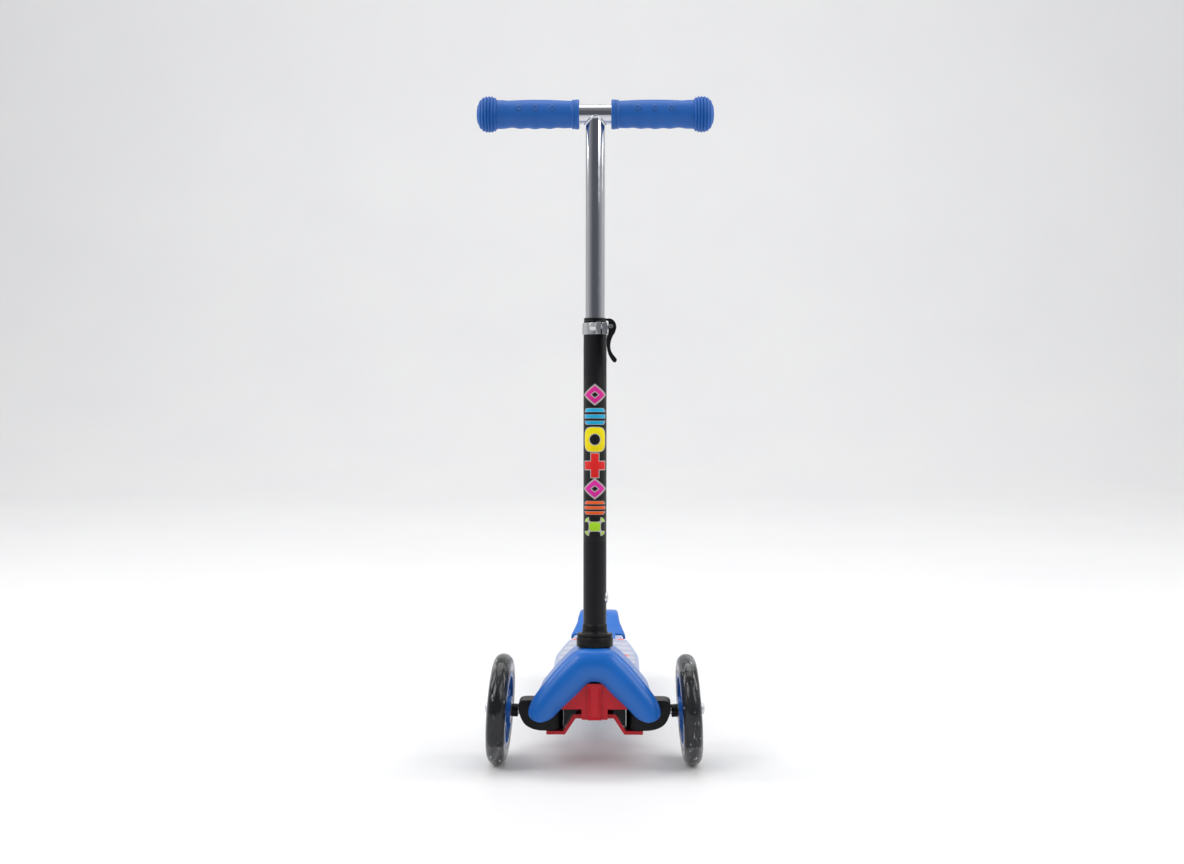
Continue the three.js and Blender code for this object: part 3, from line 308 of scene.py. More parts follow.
class Finish:
    """A material under construction, with one method for every node it needs. The keywords of
    its constructor are the shader's even settings, with _ for a space."""

    def __init__(self, name, **fixed):
        self.material = bpy.data.materials.new(name)
        self.material.use_nodes = True
        self.tree = self.material.node_tree
        self.shader = self.tree.nodes["Principled BSDF"]
        self.feed(**fixed)

    def join(self, socket, value):
        """Links a wire to the socket, or sets the socket to a plain value."""
        if isinstance(value, Wire):
            self.tree.links.new(value.socket, socket)
        else:
            socket.default_value = value

    def node(self, kind, settings=None, values=None, out=0):
        made = self.tree.nodes.new(kind)
        for key, value in (settings or {}).items():
            setattr(made, key, value)
        for key, value in (values or {}).items():
            self.join(made.inputs[key], value)
        return Wire(self, made.outputs[out])

    def place(self, source="Object"):
        """Coordinates of the surface, from the object's own origin unless told otherwise."""
        return self.node("ShaderNodeTexCoord", out=source)

    def axes(self, source="Object"):
        split = self.tree.nodes.new("ShaderNodeSeparateXYZ")
        self.tree.links.new(self.place(source).socket, split.inputs[0])
        return [Wire(self, split.outputs[i]) for i in range(3)]

    def noise(self, scale, detail, vector=None):
        return self.node("ShaderNodeTexNoise", {}, {
            "Vector": vector or self.place(), "Scale": scale, "Detail": detail,
            "Roughness": NOISE_ROUGHNESS})

    def stretched_noise(self, scale, stretch, detail):
        mapped = self.node("ShaderNodeMapping", {}, {"Vector": self.place(), "Scale": stretch})
        return self.noise(scale, detail, vector=mapped)

    def speckle(self, scale):
        return self.node("ShaderNodeTexVoronoi", {}, {"Vector": self.place(), "Scale": scale})

    def ramp(self, factor, stops):
        node = self.tree.nodes.new("ShaderNodeValToRGB")
        ramp = node.color_ramp
        while len(ramp.elements) < len(stops):
            ramp.elements.new(1.0)
        for element, (at, colour) in zip(ramp.elements, stops):
            element.position = at
            element.color = (*colour, 1.0)
        self.tree.links.new(factor.socket, node.inputs[0])
        return Wire(self, node.outputs[0])

    def mix(self, factor, first, second):
        """Mixes two colours; 0, 6 and 7 are the node's factor and colour sockets."""
        first, second = (colour if isinstance(colour, Wire) else (*colour, 1.0)
                         for colour in (first, second))
        return self.node("ShaderNodeMix", {"data_type": "RGBA"},
                         {0: factor, 6: first, 7: second}, out=2)

    def feed(self, **sockets):
        """Links or sets the shader's own sockets."""
        for name, value in sockets.items():
            self.join(self.shader.inputs[name.replace("_", " ")], value)

    def bump(self, height, strength, distance):
        self.feed(Normal=self.node("ShaderNodeBump", {}, {
            "Strength": strength, "Distance": distance, "Height": height}))


def shade(colour, factor):
    """The colour made lighter or darker, held at white."""
    return tuple(min(1.0, c * factor) for c in colour)


def moulded(name, colour, rough, grain, depth, coat=0.0, patch=0.06, mirror=0.4):
    """Injection-moulded plastic: faint flow patches, a spark-eroded grain and rubbed gloss."""
    f = Finish(name, Coat_Weight=coat, Coat_Roughness=0.2, Specular_IOR_Level=mirror)
    flow = f.noise(14.0, 2.0)
    scuff = f.stretched_noise(160.0, (1.0, 0.35, 1.6), 5.0).smooth(0.58, 0.72)
    tone = f.ramp(flow, [(0.3, shade(colour, 1 - patch)), (0.7, shade(colour, 1 + patch))])
    f.feed(Base_Color=tone, Roughness=rough + (flow - 0.5) * 0.12 + scuff * 0.1)
    f.bump(f.noise(grain, 2.0) + scuff * 0.25, depth, FINE_BUMP)
    return f.material


def rubbery(name, colour):
    """Soft grip rubber: matt, a very fine grain, a dusty bloom in patches, and small raised
    rings on the front of each grip, at MARK_PLACES from the bar's middle and just above it."""
    f = Finish(name, Specular_IOR_Level=0.4)
    x, y, z = f.axes()
    bar = stem_frame(np.array([[0.0, 0.0, BAR_S]]))[0]
    off_z = z - (bar[2] + MARK_RISE)
    rings = 0.0
    for middle in MARK_PLACES:
        off_x = abs(x) - middle
        away = (off_x * off_x + off_z * off_z).power(0.5)
        rings = rings + abs(away - MARK_R).smooth(1.6 * MM, 0.4 * MM)
    rings = rings * (y < bar[1])
    cloud = f.noise(26.0, 3.0)
    bloom = f.noise(330.0, 4.0).smooth(0.45, 0.75)
    tone = f.ramp(cloud, [(0.3, shade(colour, 0.93)), (0.72, shade(colour, 1.07))])
    f.feed(Base_Color=f.mix(rings * 0.35, f.mix(bloom * 0.06, tone, shade(colour, 1.9)),
                            shade(colour, 0.55)),
           Roughness=0.42 + cloud * 0.14)
    f.bump(f.noise(1500.0, 2.0) * 0.2 + bloom * 0.06 + rings, 0.9, 0.0009)
    return f.material


def powder_coat(name, colour):
    """Baked black powder paint on a steel tube: fine orange peel, light handling scratches."""
    f = Finish(name, Coat_Weight=0.1, Coat_Roughness=0.18, Specular_IOR_Level=0.25)
    peel = f.noise(520.0, 2.0)
    scratch = f.stretched_noise(420.0, (1.0, 1.0, 0.04), 4.0).smooth(0.66, 0.74)
    f.feed(Base_Color=f.mix(scratch * 0.12, colour, shade(colour, 5.0)),
           Roughness=0.36 + peel * 0.08 + scratch * 0.12)
    f.bump(peel, 0.1, FINE_BUMP)
    return f.material


def bright_metal(name, colour, rough, lines, haze):
    """Plated metal: drawn lines that the stretch lays along one axis, and small water marks."""
    f = Finish(name, Metallic=1.0)
    drawn = f.stretched_noise(900.0, lines, 2.0)
    marks = f.noise(38.0, 4.0).smooth(0.52, 0.7)
    f.feed(Base_Color=f.mix(marks * 0.15, colour, shade(colour, 0.8)),
           Roughness=rough + (drawn - 0.5) * 0.08 + marks * haze)
    f.bump(drawn, 0.05, 0.0001)
    return f.material


def smoky_clear(name):
    """Smoke-grey cast polyurethane tyre: half see-through, with dark swirls that follow the tread,
    painted pale glints that stand in for reflections, and road scuffs."""
    f = Finish(name, Specular_IOR_Level=0.45)
    swirl = f.stretched_noise(90.0, (1.5, 0.4, 0.4), 4.0)
    cloud = swirl.smooth(0.4, 0.62)
    # painted highlight: pale streaky glints mixed into the tyre's colour
    painted_glint = f.stretched_noise(260.0, (1.0, 0.35, 0.35), 4.0).smooth(0.63, 0.74)
    scuff = f.noise(240.0, 5.0).smooth(0.6, 0.7)
    tone = f.ramp(cloud, [(0.0, (0.008, 0.009, 0.010)), (1.0, (0.035, 0.037, 0.040))])
    f.feed(Base_Color=f.mix(painted_glint * 0.85, tone, (0.66, 0.69, 0.72)),
           Roughness=0.1 + cloud * 0.1 + scuff * 0.12,
           Alpha=0.56 + (1.0 - cloud) * 0.3 + painted_glint * 0.14)
    f.bump(swirl + scuff * 0.2, 0.35, 0.0012)
    return f.material


def painted_shade_band(name):
    """Near-black band inside the tyre, painted shade for the tyre's dark middle, with painted pale
    glints streaked along the tread.
    """
    f = Finish(name)
    # painted highlight: pale glint streaks over a near-black colour that paints the tyre's shade
    painted_glint_streak = f.stretched_noise(300.0, (1.0, 0.3, 0.3), 4.0).smooth(0.6, 0.72)
    f.feed(Base_Color=f.mix(painted_glint_streak * 0.8, (0.006, 0.006, 0.008), (0.5, 0.52, 0.56)),
           Roughness=0.3 + painted_glint_streak * 0.3)
    f.bump(painted_glint_streak, 0.3, 0.0003)
    return f.material


def pale_deck(name):
    """Pale lavender-grey deck plastic with cloudy patches, which light enters a little way."""
    f = Finish(name, Subsurface_Weight=0.15, Subsurface_Scale=0.01)
    cloud = f.noise(18.0, 3.0)
    f.feed(Base_Color=f.ramp(cloud, [(0.3, (0.30, 0.36, 0.52)), (0.7, (0.37, 0.43, 0.58))]),
           Roughness=0.32 + cloud * 0.14)
    f.bump(f.noise(700.0, 2.0), 0.12, FINE_BUMP)
    return f.material


def printed_pad(name):
    """Footboard print: soft grey bands, thin slanting lines and small red darts on pale ground."""
    f = Finish(name)
    x, y, _ = f.axes()
    wander = f.noise(22.0, 2.0) - 0.5
    bands = abs((y * 34.0 + abs(x) * 16.0 + wander * 0.6).fract() - 0.5).smooth(0.3, 0.22)
    hatch = abs((y * 210.0 - x * 70.0).fract() - 0.5).smooth(0.36, 0.44)
    cell_y = (y * 9.0 + 0.31).fract() - 0.5
    dart_x = abs(abs(x) - 0.031) * 90.0
    dart = ((dart_x + abs(cell_y) * 6.0) < 0.72) * (cell_y > -0.06)
    ground = f.ramp(f.noise(60.0, 3.0), [(0.3, (0.40, 0.42, 0.52)), (0.7, (0.49, 0.51, 0.61))])
    toned = f.mix(bands * 0.4, ground, (0.27, 0.3, 0.4))
    hatched = f.mix(hatch * (1.0 - bands) * 0.35, toned, (0.5, 0.38, 0.44))
    f.feed(Base_Color=f.mix(dart, hatched, (0.78, 0.13, 0.09)), Roughness=0.42 + bands * 0.08)
    f.bump(f.speckle(520.0).smooth(0.1, 0.5) + bands * 0.2, 0.3, 0.0004)
    return f.material


def badge_level(kind, x, y):
    """A plain shape as a level: below 1 inside, rising outwards; x and y run from -1 to 1."""
    dx, dy = abs(x), abs(y)
    tile = dx.power(3.2) + dy.power(3.2)
    if kind == "diamond":
        return ((dx + dy) * 0.95).most(1.5 - (dx + dy) * 1.6)
    if kind == "bars":
        return tile.most((abs((y * 1.5 + 0.5).fract() - 0.5) - 0.3) * 4.0 + 1.0)
    if kind == "cross":
        return tile.most((dx.least(dy) - 0.36) * 3.0 + 1.0)
    if kind == "checks":
        return tile.most(1.0 - (dx - 0.5) * (dy - 0.5) * 9.0)
    return tile.most(1.6 - (dx * dx + dy * dy) * 3.0)


def sticker_print(name, badges, half_width):
    """Stem sticker: a column of bright generic shapes with pale edges on a black film. u runs
    across the sticker and v up it, both in metres on the piece's own map."""
    f = Finish(name, Coat_Weight=0.25, Coat_Roughness=0.12, Specular_IOR_Level=0.3)
    u, v, _ = f.axes("UV")
    colour = FILM_BLACK
    for kind, centre, height, tint in badges:
        x, y = u / half_width, (v - centre * MM) / (height / 2 * MM)
        level = badge_level(kind, x, y)
        tile = level.smooth(0.94, 0.84)
        rim = level.smooth(1.12, 1.02)
        shine = (y * 0.5 + 0.5) * 0.4
        colour = f.mix(rim * 0.75, colour, (0.62, 0.58, 0.56))
        colour = f.mix(tile, colour, f.mix(shine, tint, shade(tint, 1.7)))
    f.feed(Base_Color=colour, Roughness=0.3 + f.noise(60.0, 3.0) * 0.12)
    f.bump(f.noise(500.0, 2.0), 0.06, FINE_BUMP)
    return f.material


# --- sizes and colours
class ScooterSettings(bpy.types.PropertyGroup):
    """What a user would change about the looks."""
    blue: FloatVectorProperty(
        name="Blue plastic", description="Colour of hood, fender and wheel cores",
        subtype="COLOR", size=3, min=0, max=1, default=(0.006, 0.128, 0.50))
    grip_blue: FloatVectorProperty(
        name="Grip rubber", description="Colour of the two grips",
        subtype="COLOR", size=3, min=0, max=1, default=(0.006, 0.100, 0.40))
    red: FloatVectorProperty(
        name="Red plastic", description="Colour of the chassis nose",
        subtype="COLOR", size=3, min=0, max=1, default=(0.50, 0.002, 0.012))
    black: FloatVectorProperty(
        name="Black plastic", description="Colour of arms, socket and lever",
        subtype="COLOR", size=3, min=0, max=1, default=(0.005, 0.005, 0.006))
    paint: FloatVectorProperty(
        name="Tube paint", description="Colour of the outer tube",
        subtype="COLOR", size=3, min=0, max=1, default=(0.006, 0.006, 0.008))
    rib_height: FloatProperty(
        name="Rib height", description="How far the rings on the grip ends stand out",
        default=1.5 * MM, unit="LENGTH", subtype="DISTANCE")
    hood_wall: FloatProperty(
        name="Hood wall", description="Thickness of the hood's shell",
        default=2.4 * MM, unit="LENGTH", subtype="DISTANCE")


FINISHES = {}
FINISH_SLOT = {  # the frame's nodes take the last finish of their slot
    "core": "blue_plastic", "blue": "blue_plastic", "grip": "blue_rubber", "red": "red_plastic",
    "black": "black_plastic", "paint": "black_tube", "tyre": "tyre_clear", "chrome": "chrome",
    "dark": "steel", "zinc": "steel", "deck": "deck_plastic", "pad": "deck_print",
    "band": None, "sticker": None,
}


def settings():
    """The scene's own values of the settings above."""
    return bpy.context.scene.scooter


def make_finishes():
    """Fills the table of finishes from the settings' colours."""
    s = settings()
    fittings = ((1.0, 1.0, 0.6), 0.16)
    FINISHES.update(
        blue=moulded("hood_blue", tuple(s.blue), 0.33, 1100.0, 0.10, coat=0.12),
        core=moulded("core_blue", shade(tuple(s.blue), 0.72), 0.25, 900.0, 0.08, coat=0.3),
        grip=rubbery("grip_rubber", tuple(s.grip_blue)),
        red=moulded("nose_red", tuple(s.red), 0.36, 1000.0, 0.10),
        black=moulded("moulded_black", tuple(s.black), 0.40, 800.0, 0.22, patch=0.15,
                      mirror=0.22),
        paint=powder_coat("tube_paint", tuple(s.paint)),
        chrome=bright_metal("drawn_chrome", (0.64, 0.65, 0.69), 0.10, (1.0, 1.0, 0.02), 0.08),
        dark=bright_metal("dark_steel", (0.16, 0.165, 0.17), 0.34, *fittings),
        zinc=bright_metal("zinc_plate", (0.62, 0.63, 0.65), 0.3, *fittings),
        tyre=smoky_clear("smoky_tyre"),
        # painted shade and painted glints: the near-black band inside the tyres
        band=painted_shade_band("tyre_bonding"),
        deck=pale_deck("deck_plastic"),
        pad=printed_pad("deck_print"),
        sticker=sticker_print("sticker_print", STICKER_BADGES, STICKER_HALF_WIDTH),
    )


# --- sizes shared by the pieces (mm)
BAR_S = 602.5
BUTTON_S = 81.0
BUTTON_HOLE_R = 6.6
TUBE_R, TUBE_BORE_R = 12.5, 11.5
TUBE_BOTTOM, TUBE_TOP = 53.1, 377.4
BAND_BOTTOM, BAND_TOP = 364.7, 377.1
CAM_X, CAM_S = 17.3, 372.5
CLAMP_BOLT_Y = -19.0
TYRE_HALF = 10.0
FRONT_TYRE, REAR_TYRE = (60, 41), (40, 25)  # radius, bore radius
STICKER_BOTTOM, STICKER_TOP = 142.0, 319.2
STICKER_HALF_ANGLE = 1.36
FILM_INSIDE, FILM_OUTSIDE = 0.03, 0.12
STICKER_HALF_WIDTH = 13.2 * MM
STICKER_BADGES = [  # shape, height of its middle, its own height, colour
    ("diamond", 299.8, 21.0, (0.62, 0.02, 0.26)), ("bars", 276.5, 20.4, (0.01, 0.36, 0.62)),
    ("spot", 251.7, 26.9, (0.86, 0.66, 0.0)), ("cross", 223.8, 26.9, (0.66, 0.015, 0.015)),
    ("diamond", 198.8, 20.6, (0.62, 0.02, 0.30)), ("bars", 178.4, 16.7, (0.78, 0.09, 0.01)),
    ("checks", 158.2, 20.4, (0.33, 0.60, 0.02)),
]
HOOD_FRONT, HOOD_BULGE, HOOD_STEPS = -31.0, 13.0, 14
HOOD_LOW, HOOD_HIGH = -17.0, -12.0  # the skirts deepen between these heights
HOOD_SHOE_BACK, HOOD_BACK = -22.0, 33.0
RIM_RETURN = 1.5
FENDER_R, FENDER_START = 58, 358.8
HINGE_Y, HINGE_Z = 350, 70


# --- hood
def hood_outline():
    """Matching outer and inner edges of the hood's legs, from the left foot to the right."""
    outer = [(-58, -49.4), (-66.5, -48.4), (-71.6, -43), (-71, -35), (-64.5, -22), (-54, -9.5),
             (-43, 4.6), (-33.6, 14.2), (-27, 20.6), (-21.6, 25.4), (-15.5, 27.6), (-8, 28),
             (0, 28)]
    inner = [(-58, -49.4), (-52, -49), (-45, -46), (-40.5, -41.5), (-36, -37), (-29.5, -31),
             (-22.5, -24.5), (-15.5, -17.8), (-11.5, -13), (-7.5, -9.4), (-4, -8), (0, -7.7)]
    both = []
    for half, spread in ((outer, 4.5), (inner, 3.0)):
        edge = smooth_path(half, 90)
        both.append(eased(np.vstack([edge, edge[-2::-1] * np.array([-1.0, 1.0])]), spread))
    return both


def eased(rows, spread):
    """Gaussian average along the rows, weight exp(-(k / spread)^2 / 2), with both ends held."""
    reach = int(3 * spread)
    weight = np.exp(-0.5 * (np.arange(-reach, reach + 1) / spread) ** 2)
    weight /= weight.sum()
    flat = rows.reshape(len(rows), -1)
    padded = np.vstack([2 * flat[:1] - flat[reach:0:-1], flat,
                        2 * flat[-1:] - flat[-2:-reach - 2:-1]])
    smooth = np.column_stack([np.convolve(column, weight, "valid") for column in padded.T])
    return smooth.reshape(rows.shape)


def hood_skirt(edge, front, back):
    """Rows that run straight back from one rim of the hood's face."""
    steps = np.linspace(0, 1, HOOD_STEPS)
    depth = front[:, None] + (back - front)[:, None] * steps
    return np.stack([np.broadcast_to(edge[:, :1], depth.shape), depth,
                     np.broadcast_to(edge[:, 1:], depth.shape)], -1)


def make_hood():
    """Front grid: place = outer + (inner - outer) v, and its depth rises from both rims by
    bulge (1 - |2v - 1|^2.1)^0.5. A skirt runs back from each rim, and the outer one is deep
    above the arms."""
    outer, inner = hood_outline()
    v = 0.5 - 0.5 * np.cos(np.pi * np.linspace(0, 1, 33))
    flat = outer[:, None] + (inner - outer)[:, None] * v[None, :, None]
    bulge = HOOD_BULGE * smoothstep(0, 26, np.linalg.norm(outer - inner, axis=1))
    rise = (1 - np.abs(2 * v - 1) ** 2.1) ** 0.5
    front = HOOD_FRONT + eased(bulge[:, None] * (1 - rise[None]), 14.0)
    face = np.stack([flat[..., 0], front, flat[..., 1]], -1)
    above_outer, above_inner = (smoothstep(HOOD_LOW, HOOD_HIGH, edge[:, 1])
                                for edge in (outer, inner))
    side_back = np.maximum(HOOD_SHOE_BACK + (HOOD_BACK - HOOD_SHOE_BACK) * above_outer,
                           front[:, 0] + RIM_RETURN)
    arch_back = front[:, -1] + RIM_RETURN + 2.5 * above_inner
    side = hood_skirt(outer, front[:, 0], side_back)
    arch = hood_skirt(inner, front[:, -1], arch_back)
    shell = Surface(stem_frame).grid(np.concatenate([side[:, ::-1], face[:, 1:-1], arch], axis=1))
    made = shell.piece("hood_shell", "stem", "blue", ("steering_hood",), sharp=50)
    make_wall(made, (0, -1, 0), settings().hood_wall)


# --- stem
def make_socket():
    """Ring under the tube: a flared lip, a groove below it, and a short sleeve."""
    profile = [(0, 16.3), (10, 16.3), (10, 24.3), (12, 24.3), (12, 28.3), (18.7, 28.3),
               (19.5, 28.8), (19.7, 29.8), (19.7, 37.6), (19.4, 38.3), (18.7, 38.7), (18.5, 39.2),
               (18.8, 39.7), (19.3, 40.1), (19.4, 41.2), (19.1, 42.2), (18.2, 42.8), (15.6, 42.8),
               (14.6, 43.1), (13.9, 44.2), (13.6, 46), (13.3, 50), (13.0, 52.2), (12.6, 52.8),
               (11.2, 52.8), (11.2, 103), (10.2, 104), (0, 104)]
    Surface(stem_frame).turned("z", profile).piece(
        "socket_ring", "stem", "black", ("stem_socket",), sharp=30)


def make_tube():
    """Unrolled tube wall: full rings above and below a square patch, whose middle is a round
    hole. The same rows drawn in to the bore's radius make the inside."""
    segments, half_cells, rows_above = 96, 11, 12
    cell = 2 * np.pi / segments
    side = half_cells * cell * TUBE_R
    low, high = BUTTON_S - side, BUTTON_S + side
    to_bore = np.array([TUBE_BORE_R / TUBE_R, TUBE_BORE_R / TUBE_R, 1.0])
    around = np.arange(segments) * cell
    rest = np.arange(half_cells, segments - half_cells + 1) * cell
    surface = Surface(stem_frame)

    def wrap(angle, height):
        """(R cos a, R sin a, s): unrolled places put back round the tube."""
        return np.stack([TUBE_R * np.cos(angle), TUBE_R * np.sin(angle), height], -1)

    def add_rings(rings):
        """Joins full rings, each given as its radius and height."""
        surface.grid(np.stack([np.stack([r * np.cos(around), r * np.sin(around),
                                         np.full(segments, s)], -1) for r, s in rings]),
                     wrap_columns=True)
    below = np.array([TUBE_BOTTOM, low])
    above = np.append(np.linspace(high, TUBE_TOP - 1.4, rows_above), TUBE_TOP - 0.4)
    for heights in (below, above):
        surface.grid(wrap(*np.meshgrid(around, heights)), wrap_columns=True)
    beside = wrap(*np.meshgrid(rest, np.linspace(low, high, 2 * half_cells + 1)))
    surface.grid(beside)
    turn = np.linspace(-np.pi / 4, 7 * np.pi / 4, 8 * half_cells, endpoint=False)
    edge = np.linspace(-1, 1, 2 * half_cells + 1)[:-1]
    full = np.ones_like(edge)
    square = np.concatenate([np.column_stack(pair) for pair in
                             ((full, edge), (-edge, full), (-full, -edge), (edge, -full))]) * side
    hole = np.column_stack([np.cos(turn), np.sin(turn)]) * BUTTON_HOLE_R
    spread = hole[None] + (square - hole)[None] * np.linspace(0, 1, 6)[:, None, None]
    patch = wrap(spread[..., 0] / TUBE_R, BUTTON_S + spread[..., 1])
    surface.grid(patch, wrap_columns=True)
    surface.grid(np.stack([patch[0] * to_bore, patch[0]]), wrap_columns=True)
    add_rings([(TUBE_R, TUBE_TOP - 0.4), (TUBE_R - 0.1, TUBE_TOP - 0.1), (TUBE_R - 0.4, TUBE_TOP),
               (TUBE_BORE_R, TUBE_TOP)])
    add_rings([(TUBE_R, TUBE_BOTTOM), (TUBE_BORE_R, TUBE_BOTTOM)])
    for heights in (below, np.linspace(high, TUBE_TOP, rows_above)):
        surface.grid(wrap(*np.meshgrid(around, heights)) * to_bore, wrap_columns=True)
    surface.grid(beside * to_bore)
    surface.grid(patch * to_bore, wrap_columns=True)
    surface.piece("painted_tube", "stem", "paint", ("lower_tube",), merge=2e-6, sharp=40)


def make_sticker():
    """A film wrapped round the tube's front, (R sin a, -R cos a), for a within its half angle.
    Its map runs R a across and s up, in metres."""
    a, s = np.meshgrid(np.linspace(-STICKER_HALF_ANGLE, STICKER_HALF_ANGLE, 49),
                       np.linspace(STICKER_BOTTOM, STICKER_TOP, 60))
    sheets = [np.stack([radius * np.sin(a), -radius * np.cos(a), s], -1)
              for radius in (TUBE_R + FILM_INSIDE, TUBE_R + FILM_OUTSIDE)]
    surface = Surface(stem_frame).grid(sheets[0]).grid(sheets[1])
    index = np.arange(a.size).reshape(a.shape)
    border = np.concatenate([index[:, 0], index[-1, 1:], index[-2::-1, -1], index[0, -2:0:-1]])
    surface.grid(np.stack([sheet.reshape(-1, 3)[border] for sheet in sheets]),
                 wrap_columns=True)
    local = np.vstack(surface.points)
    uv = np.column_stack([np.arctan2(local[:, 0], -local[:, 1]) * TUBE_R, local[:, 2]]) * MM
    surface.piece("stem_sticker", "stem", "sticker", uv=uv, sharp=60)


def make_button():
    """Domed release button with a soft edge, hollow behind for its spring."""
    profile = [(0, 12.4), (4.9, 12.0), (4.9, 3.0), (6.1, 3), (6.3, 3.2), (6.3, 12.2), (6.1, 12.9),
               (5.6, 13.5), (4.6, 14.0), (3.0, 14.35), (1.4, 14.48), (0, 14.5)]
    Surface(stem_frame).turned("x", profile, 64, (0, 0, BUTTON_S)).piece(
        "button_dome", "button", "zinc", ("release_button",))


def make_collar():
    """Plastic guide collar above the tube, with one groove round it."""
    profile = [(10.7, 355.4), (11.2, 355.4), (11.2, 377.7), (11.7, 377.7), (12.05, 378.0),
               (12.1, 379.7), (11.9, 380.0), (11.55, 380.2), (11.9, 380.45), (12.1, 380.8),
               (12.1, 381.8), (11.9, 382.4), (11.4, 382.7), (10.9, 382.7), (10.7, 382.5)]
    Surface(stem_frame).turned("z", profile).piece(
        "guide_collar", "stem", "black", ("tube_collar",), sharp=50)


# --- clamp
def make_band():
    """Pressed steel band: one open outline of strap and lugs, in plan, run up its height. The
    strap's outside meets the lugs' outer faces and its bore meets the slit's two faces."""
    outer, inner = 13.8, 12.8
    lug_near, lug_far, lug_tip, corner = 1.5, 13.5, -23.0, 1.0
    slit_low, slit_high = 6.5, 7.5

    def angle_at(radius, x):
        """Angle in degrees of the circle's near point at this x."""
        return math.degrees(math.atan2(-math.sqrt(radius**2 - x**2), x))
    strap = arc(outer, angle_at(outer, lug_far), angle_at(outer, lug_near) + 360, 72)
    bore = arc(inner, angle_at(inner, slit_low) + 360, angle_at(inner, slit_high), 72)
    outline = np.vstack([
        strap, [(lug_near, lug_tip + corner), (lug_near + corner, lug_tip),
                (slit_low - corner, lug_tip), (slit_low, lug_tip + corner)],
        bore, [(slit_high, lug_tip + corner), (slit_high + corner, lug_tip),
               (lug_far - corner, lug_tip), (lug_far, lug_tip + corner)]])
    Surface(stem_frame).prism("xy", outline, BAND_BOTTOM, BAND_TOP).piece(
        "clamp_strap", "stem", "zinc", ("clamp_band",), bevel=0.35)


def make_nut():
    """Hexagon with chamfered corners, on the clamp bolt's end."""
    surface = Surface(lambda p: stem_frame(p + np.array([0.0, CLAMP_BOLT_Y, CAM_S])))
    surface.prism("yz", arc(5.0, 0, 300, 5), -5.2, 1.2).piece(
        "clamp_hex_nut", "stem", "zinc", ("clamp_nut",), bevel=0.5)


def make_lever():
    """Front hook plate of the full outline, a cheek round the pin, and a thicker blade behind
    the plate below the pin."""
    outline = smooth_path([
        (-7.3, 6.6), (-4.4, 8.2), (0.2, 8), (4, 5), (5.7, 0), (4.6, -5.4), (1.4, -11), (-0.4, -17),
        (-0.6, -23), (1.0, -28), (4.2, -32.4), (6.2, -35.2), (4.9, -38.0), (2.0, -37.4),
        (-1.9, -31.4), (-4.2, -24), (-4.8, -16), (-4.4, -10.4), (-3, -7), (-2.9, 4.6), (-5, 6)],
        160)
    surface = Surface(lambda p: stem_frame(p + np.array([CAM_X, 0.0, CAM_S])))
    surface.prism("xz", outline, -26.0, -23.4)
    surface.prism("xz", arc(2.9, 0, 360, 40)[:-1], -14.7, -12.4)
    x, z = outline.T
    surface.prism("xz", outline[(z < -5.2) & (x > -3.4) | (z < -8.8)], -24.0, -12.4)
    surface.piece("lever_body", "lever", "black", ("clamp_lever",),
                  bevel=0.8, segments=4, merge=1e-8)


def make_cam_pin():
    """Domed rivet head on the lever's pin."""
    profile = [(0, -27.6), (1.4, -27.5), (2.1, -27.2), (2.4, -26.8), (2.4, -26.1), (1.5, -26.0),
               (1.5, -12.0), (0, -12.0)]
    Surface(stem_frame).turned("y", profile, 48, (CAM_X, 0, CAM_S)).piece(
        "cam_rivet", "lever", "dark", ("cam_pin",))


# --- handlebar
def make_t_bar():
    """Crossbar and inner tube with the weld bead where they meet: at angle a the bead lies at
    (r cos a, r sin a, -sqrt(R^2 - (r sin a)^2)) under the bar's centre."""
    surface = Surface(stem_frame)
    half_bar = [(9.5, -121), (10.7, -121), (11, -120.7), (11, -119)]
    surface.turned("x", both_ends(half_bar), 96, (0, 0, BAR_S))
    tube = [(9.2, 285), (10.2, 285), (10.4, 285.3), (10.4, 286), (10.4, BAR_S - 6),
            (9.2, BAR_S - 6)]
    surface.turned("z", tube, 96)
    a = np.linspace(0, 2 * np.pi, 97)[:-1]
    bead_r, bar_r = 10.9, 11.35
    drop = np.sqrt(np.maximum(bar_r**2 - (bead_r * np.sin(a))**2, 0.4))
    bead = np.column_stack([bead_r * np.cos(a), bead_r * np.sin(a), BAR_S - drop])
    surface.looped(bead, 1.3 + 0.08 * np.sin(a * 31), 12)
    surface.piece("chrome_t_bar", "handlebar", "chrome", ("t_bar",), merge=1e-8)


def grip_profile(rib):
    """Radius along the grip: inner flange with a step, barrelled hand part, ribbed ball end. The
    ball is R (1 - |t|^2.5)^0.42 for t from -1 to 1, less a cosine groove between its ribs."""
    start, end, middle, half_ball, rib_pitch = 26.0, 101.0, 114.5, 13.5, 3.3
    x_ball = np.linspace(101.2, 127.6, 190)
    t = np.abs((x_ball - middle) / half_ball)
    ball = 19.5 * np.maximum(1 - t ** 2.5, 0) ** 0.42
    wave = 0.5 + 0.5 * np.cos((x_ball - middle) / rib_pitch * 2 * np.pi)
    ball = np.maximum(ball - rib * (1 - wave ** 0.5) * smoothstep(0.97, 0.86, t), 0)
    x_body = np.linspace(start, end, 60)
    u = (x_body - start) / (end - start)
    body = 14.5 + 1.25 * np.sin(np.pi * u) + 0.9 * smoothstep(0.9, 1.0, u)
    flange = [(0, 121.3), (11.3, 121.3), (11.3, 17.3), (15.0, 17.3), (15.8, 17.6), (16.0, 18.4),
              (16.0, 21.4), (15.8, 21.9), (15.2, 22.2), (15.2, 22.5), (15.7, 22.9), (15.8, 23.5),
              (15.7, 24.5), (15.2, 25.2), (14.6, 25.6)]
    joined = np.where(x_ball < middle, np.maximum(ball, body[-1]), np.maximum(ball, 5.0))
    return [*flange, *zip(body, x_body), *zip(joined, x_ball), (3.5, 127.95), (0, 128.0)]


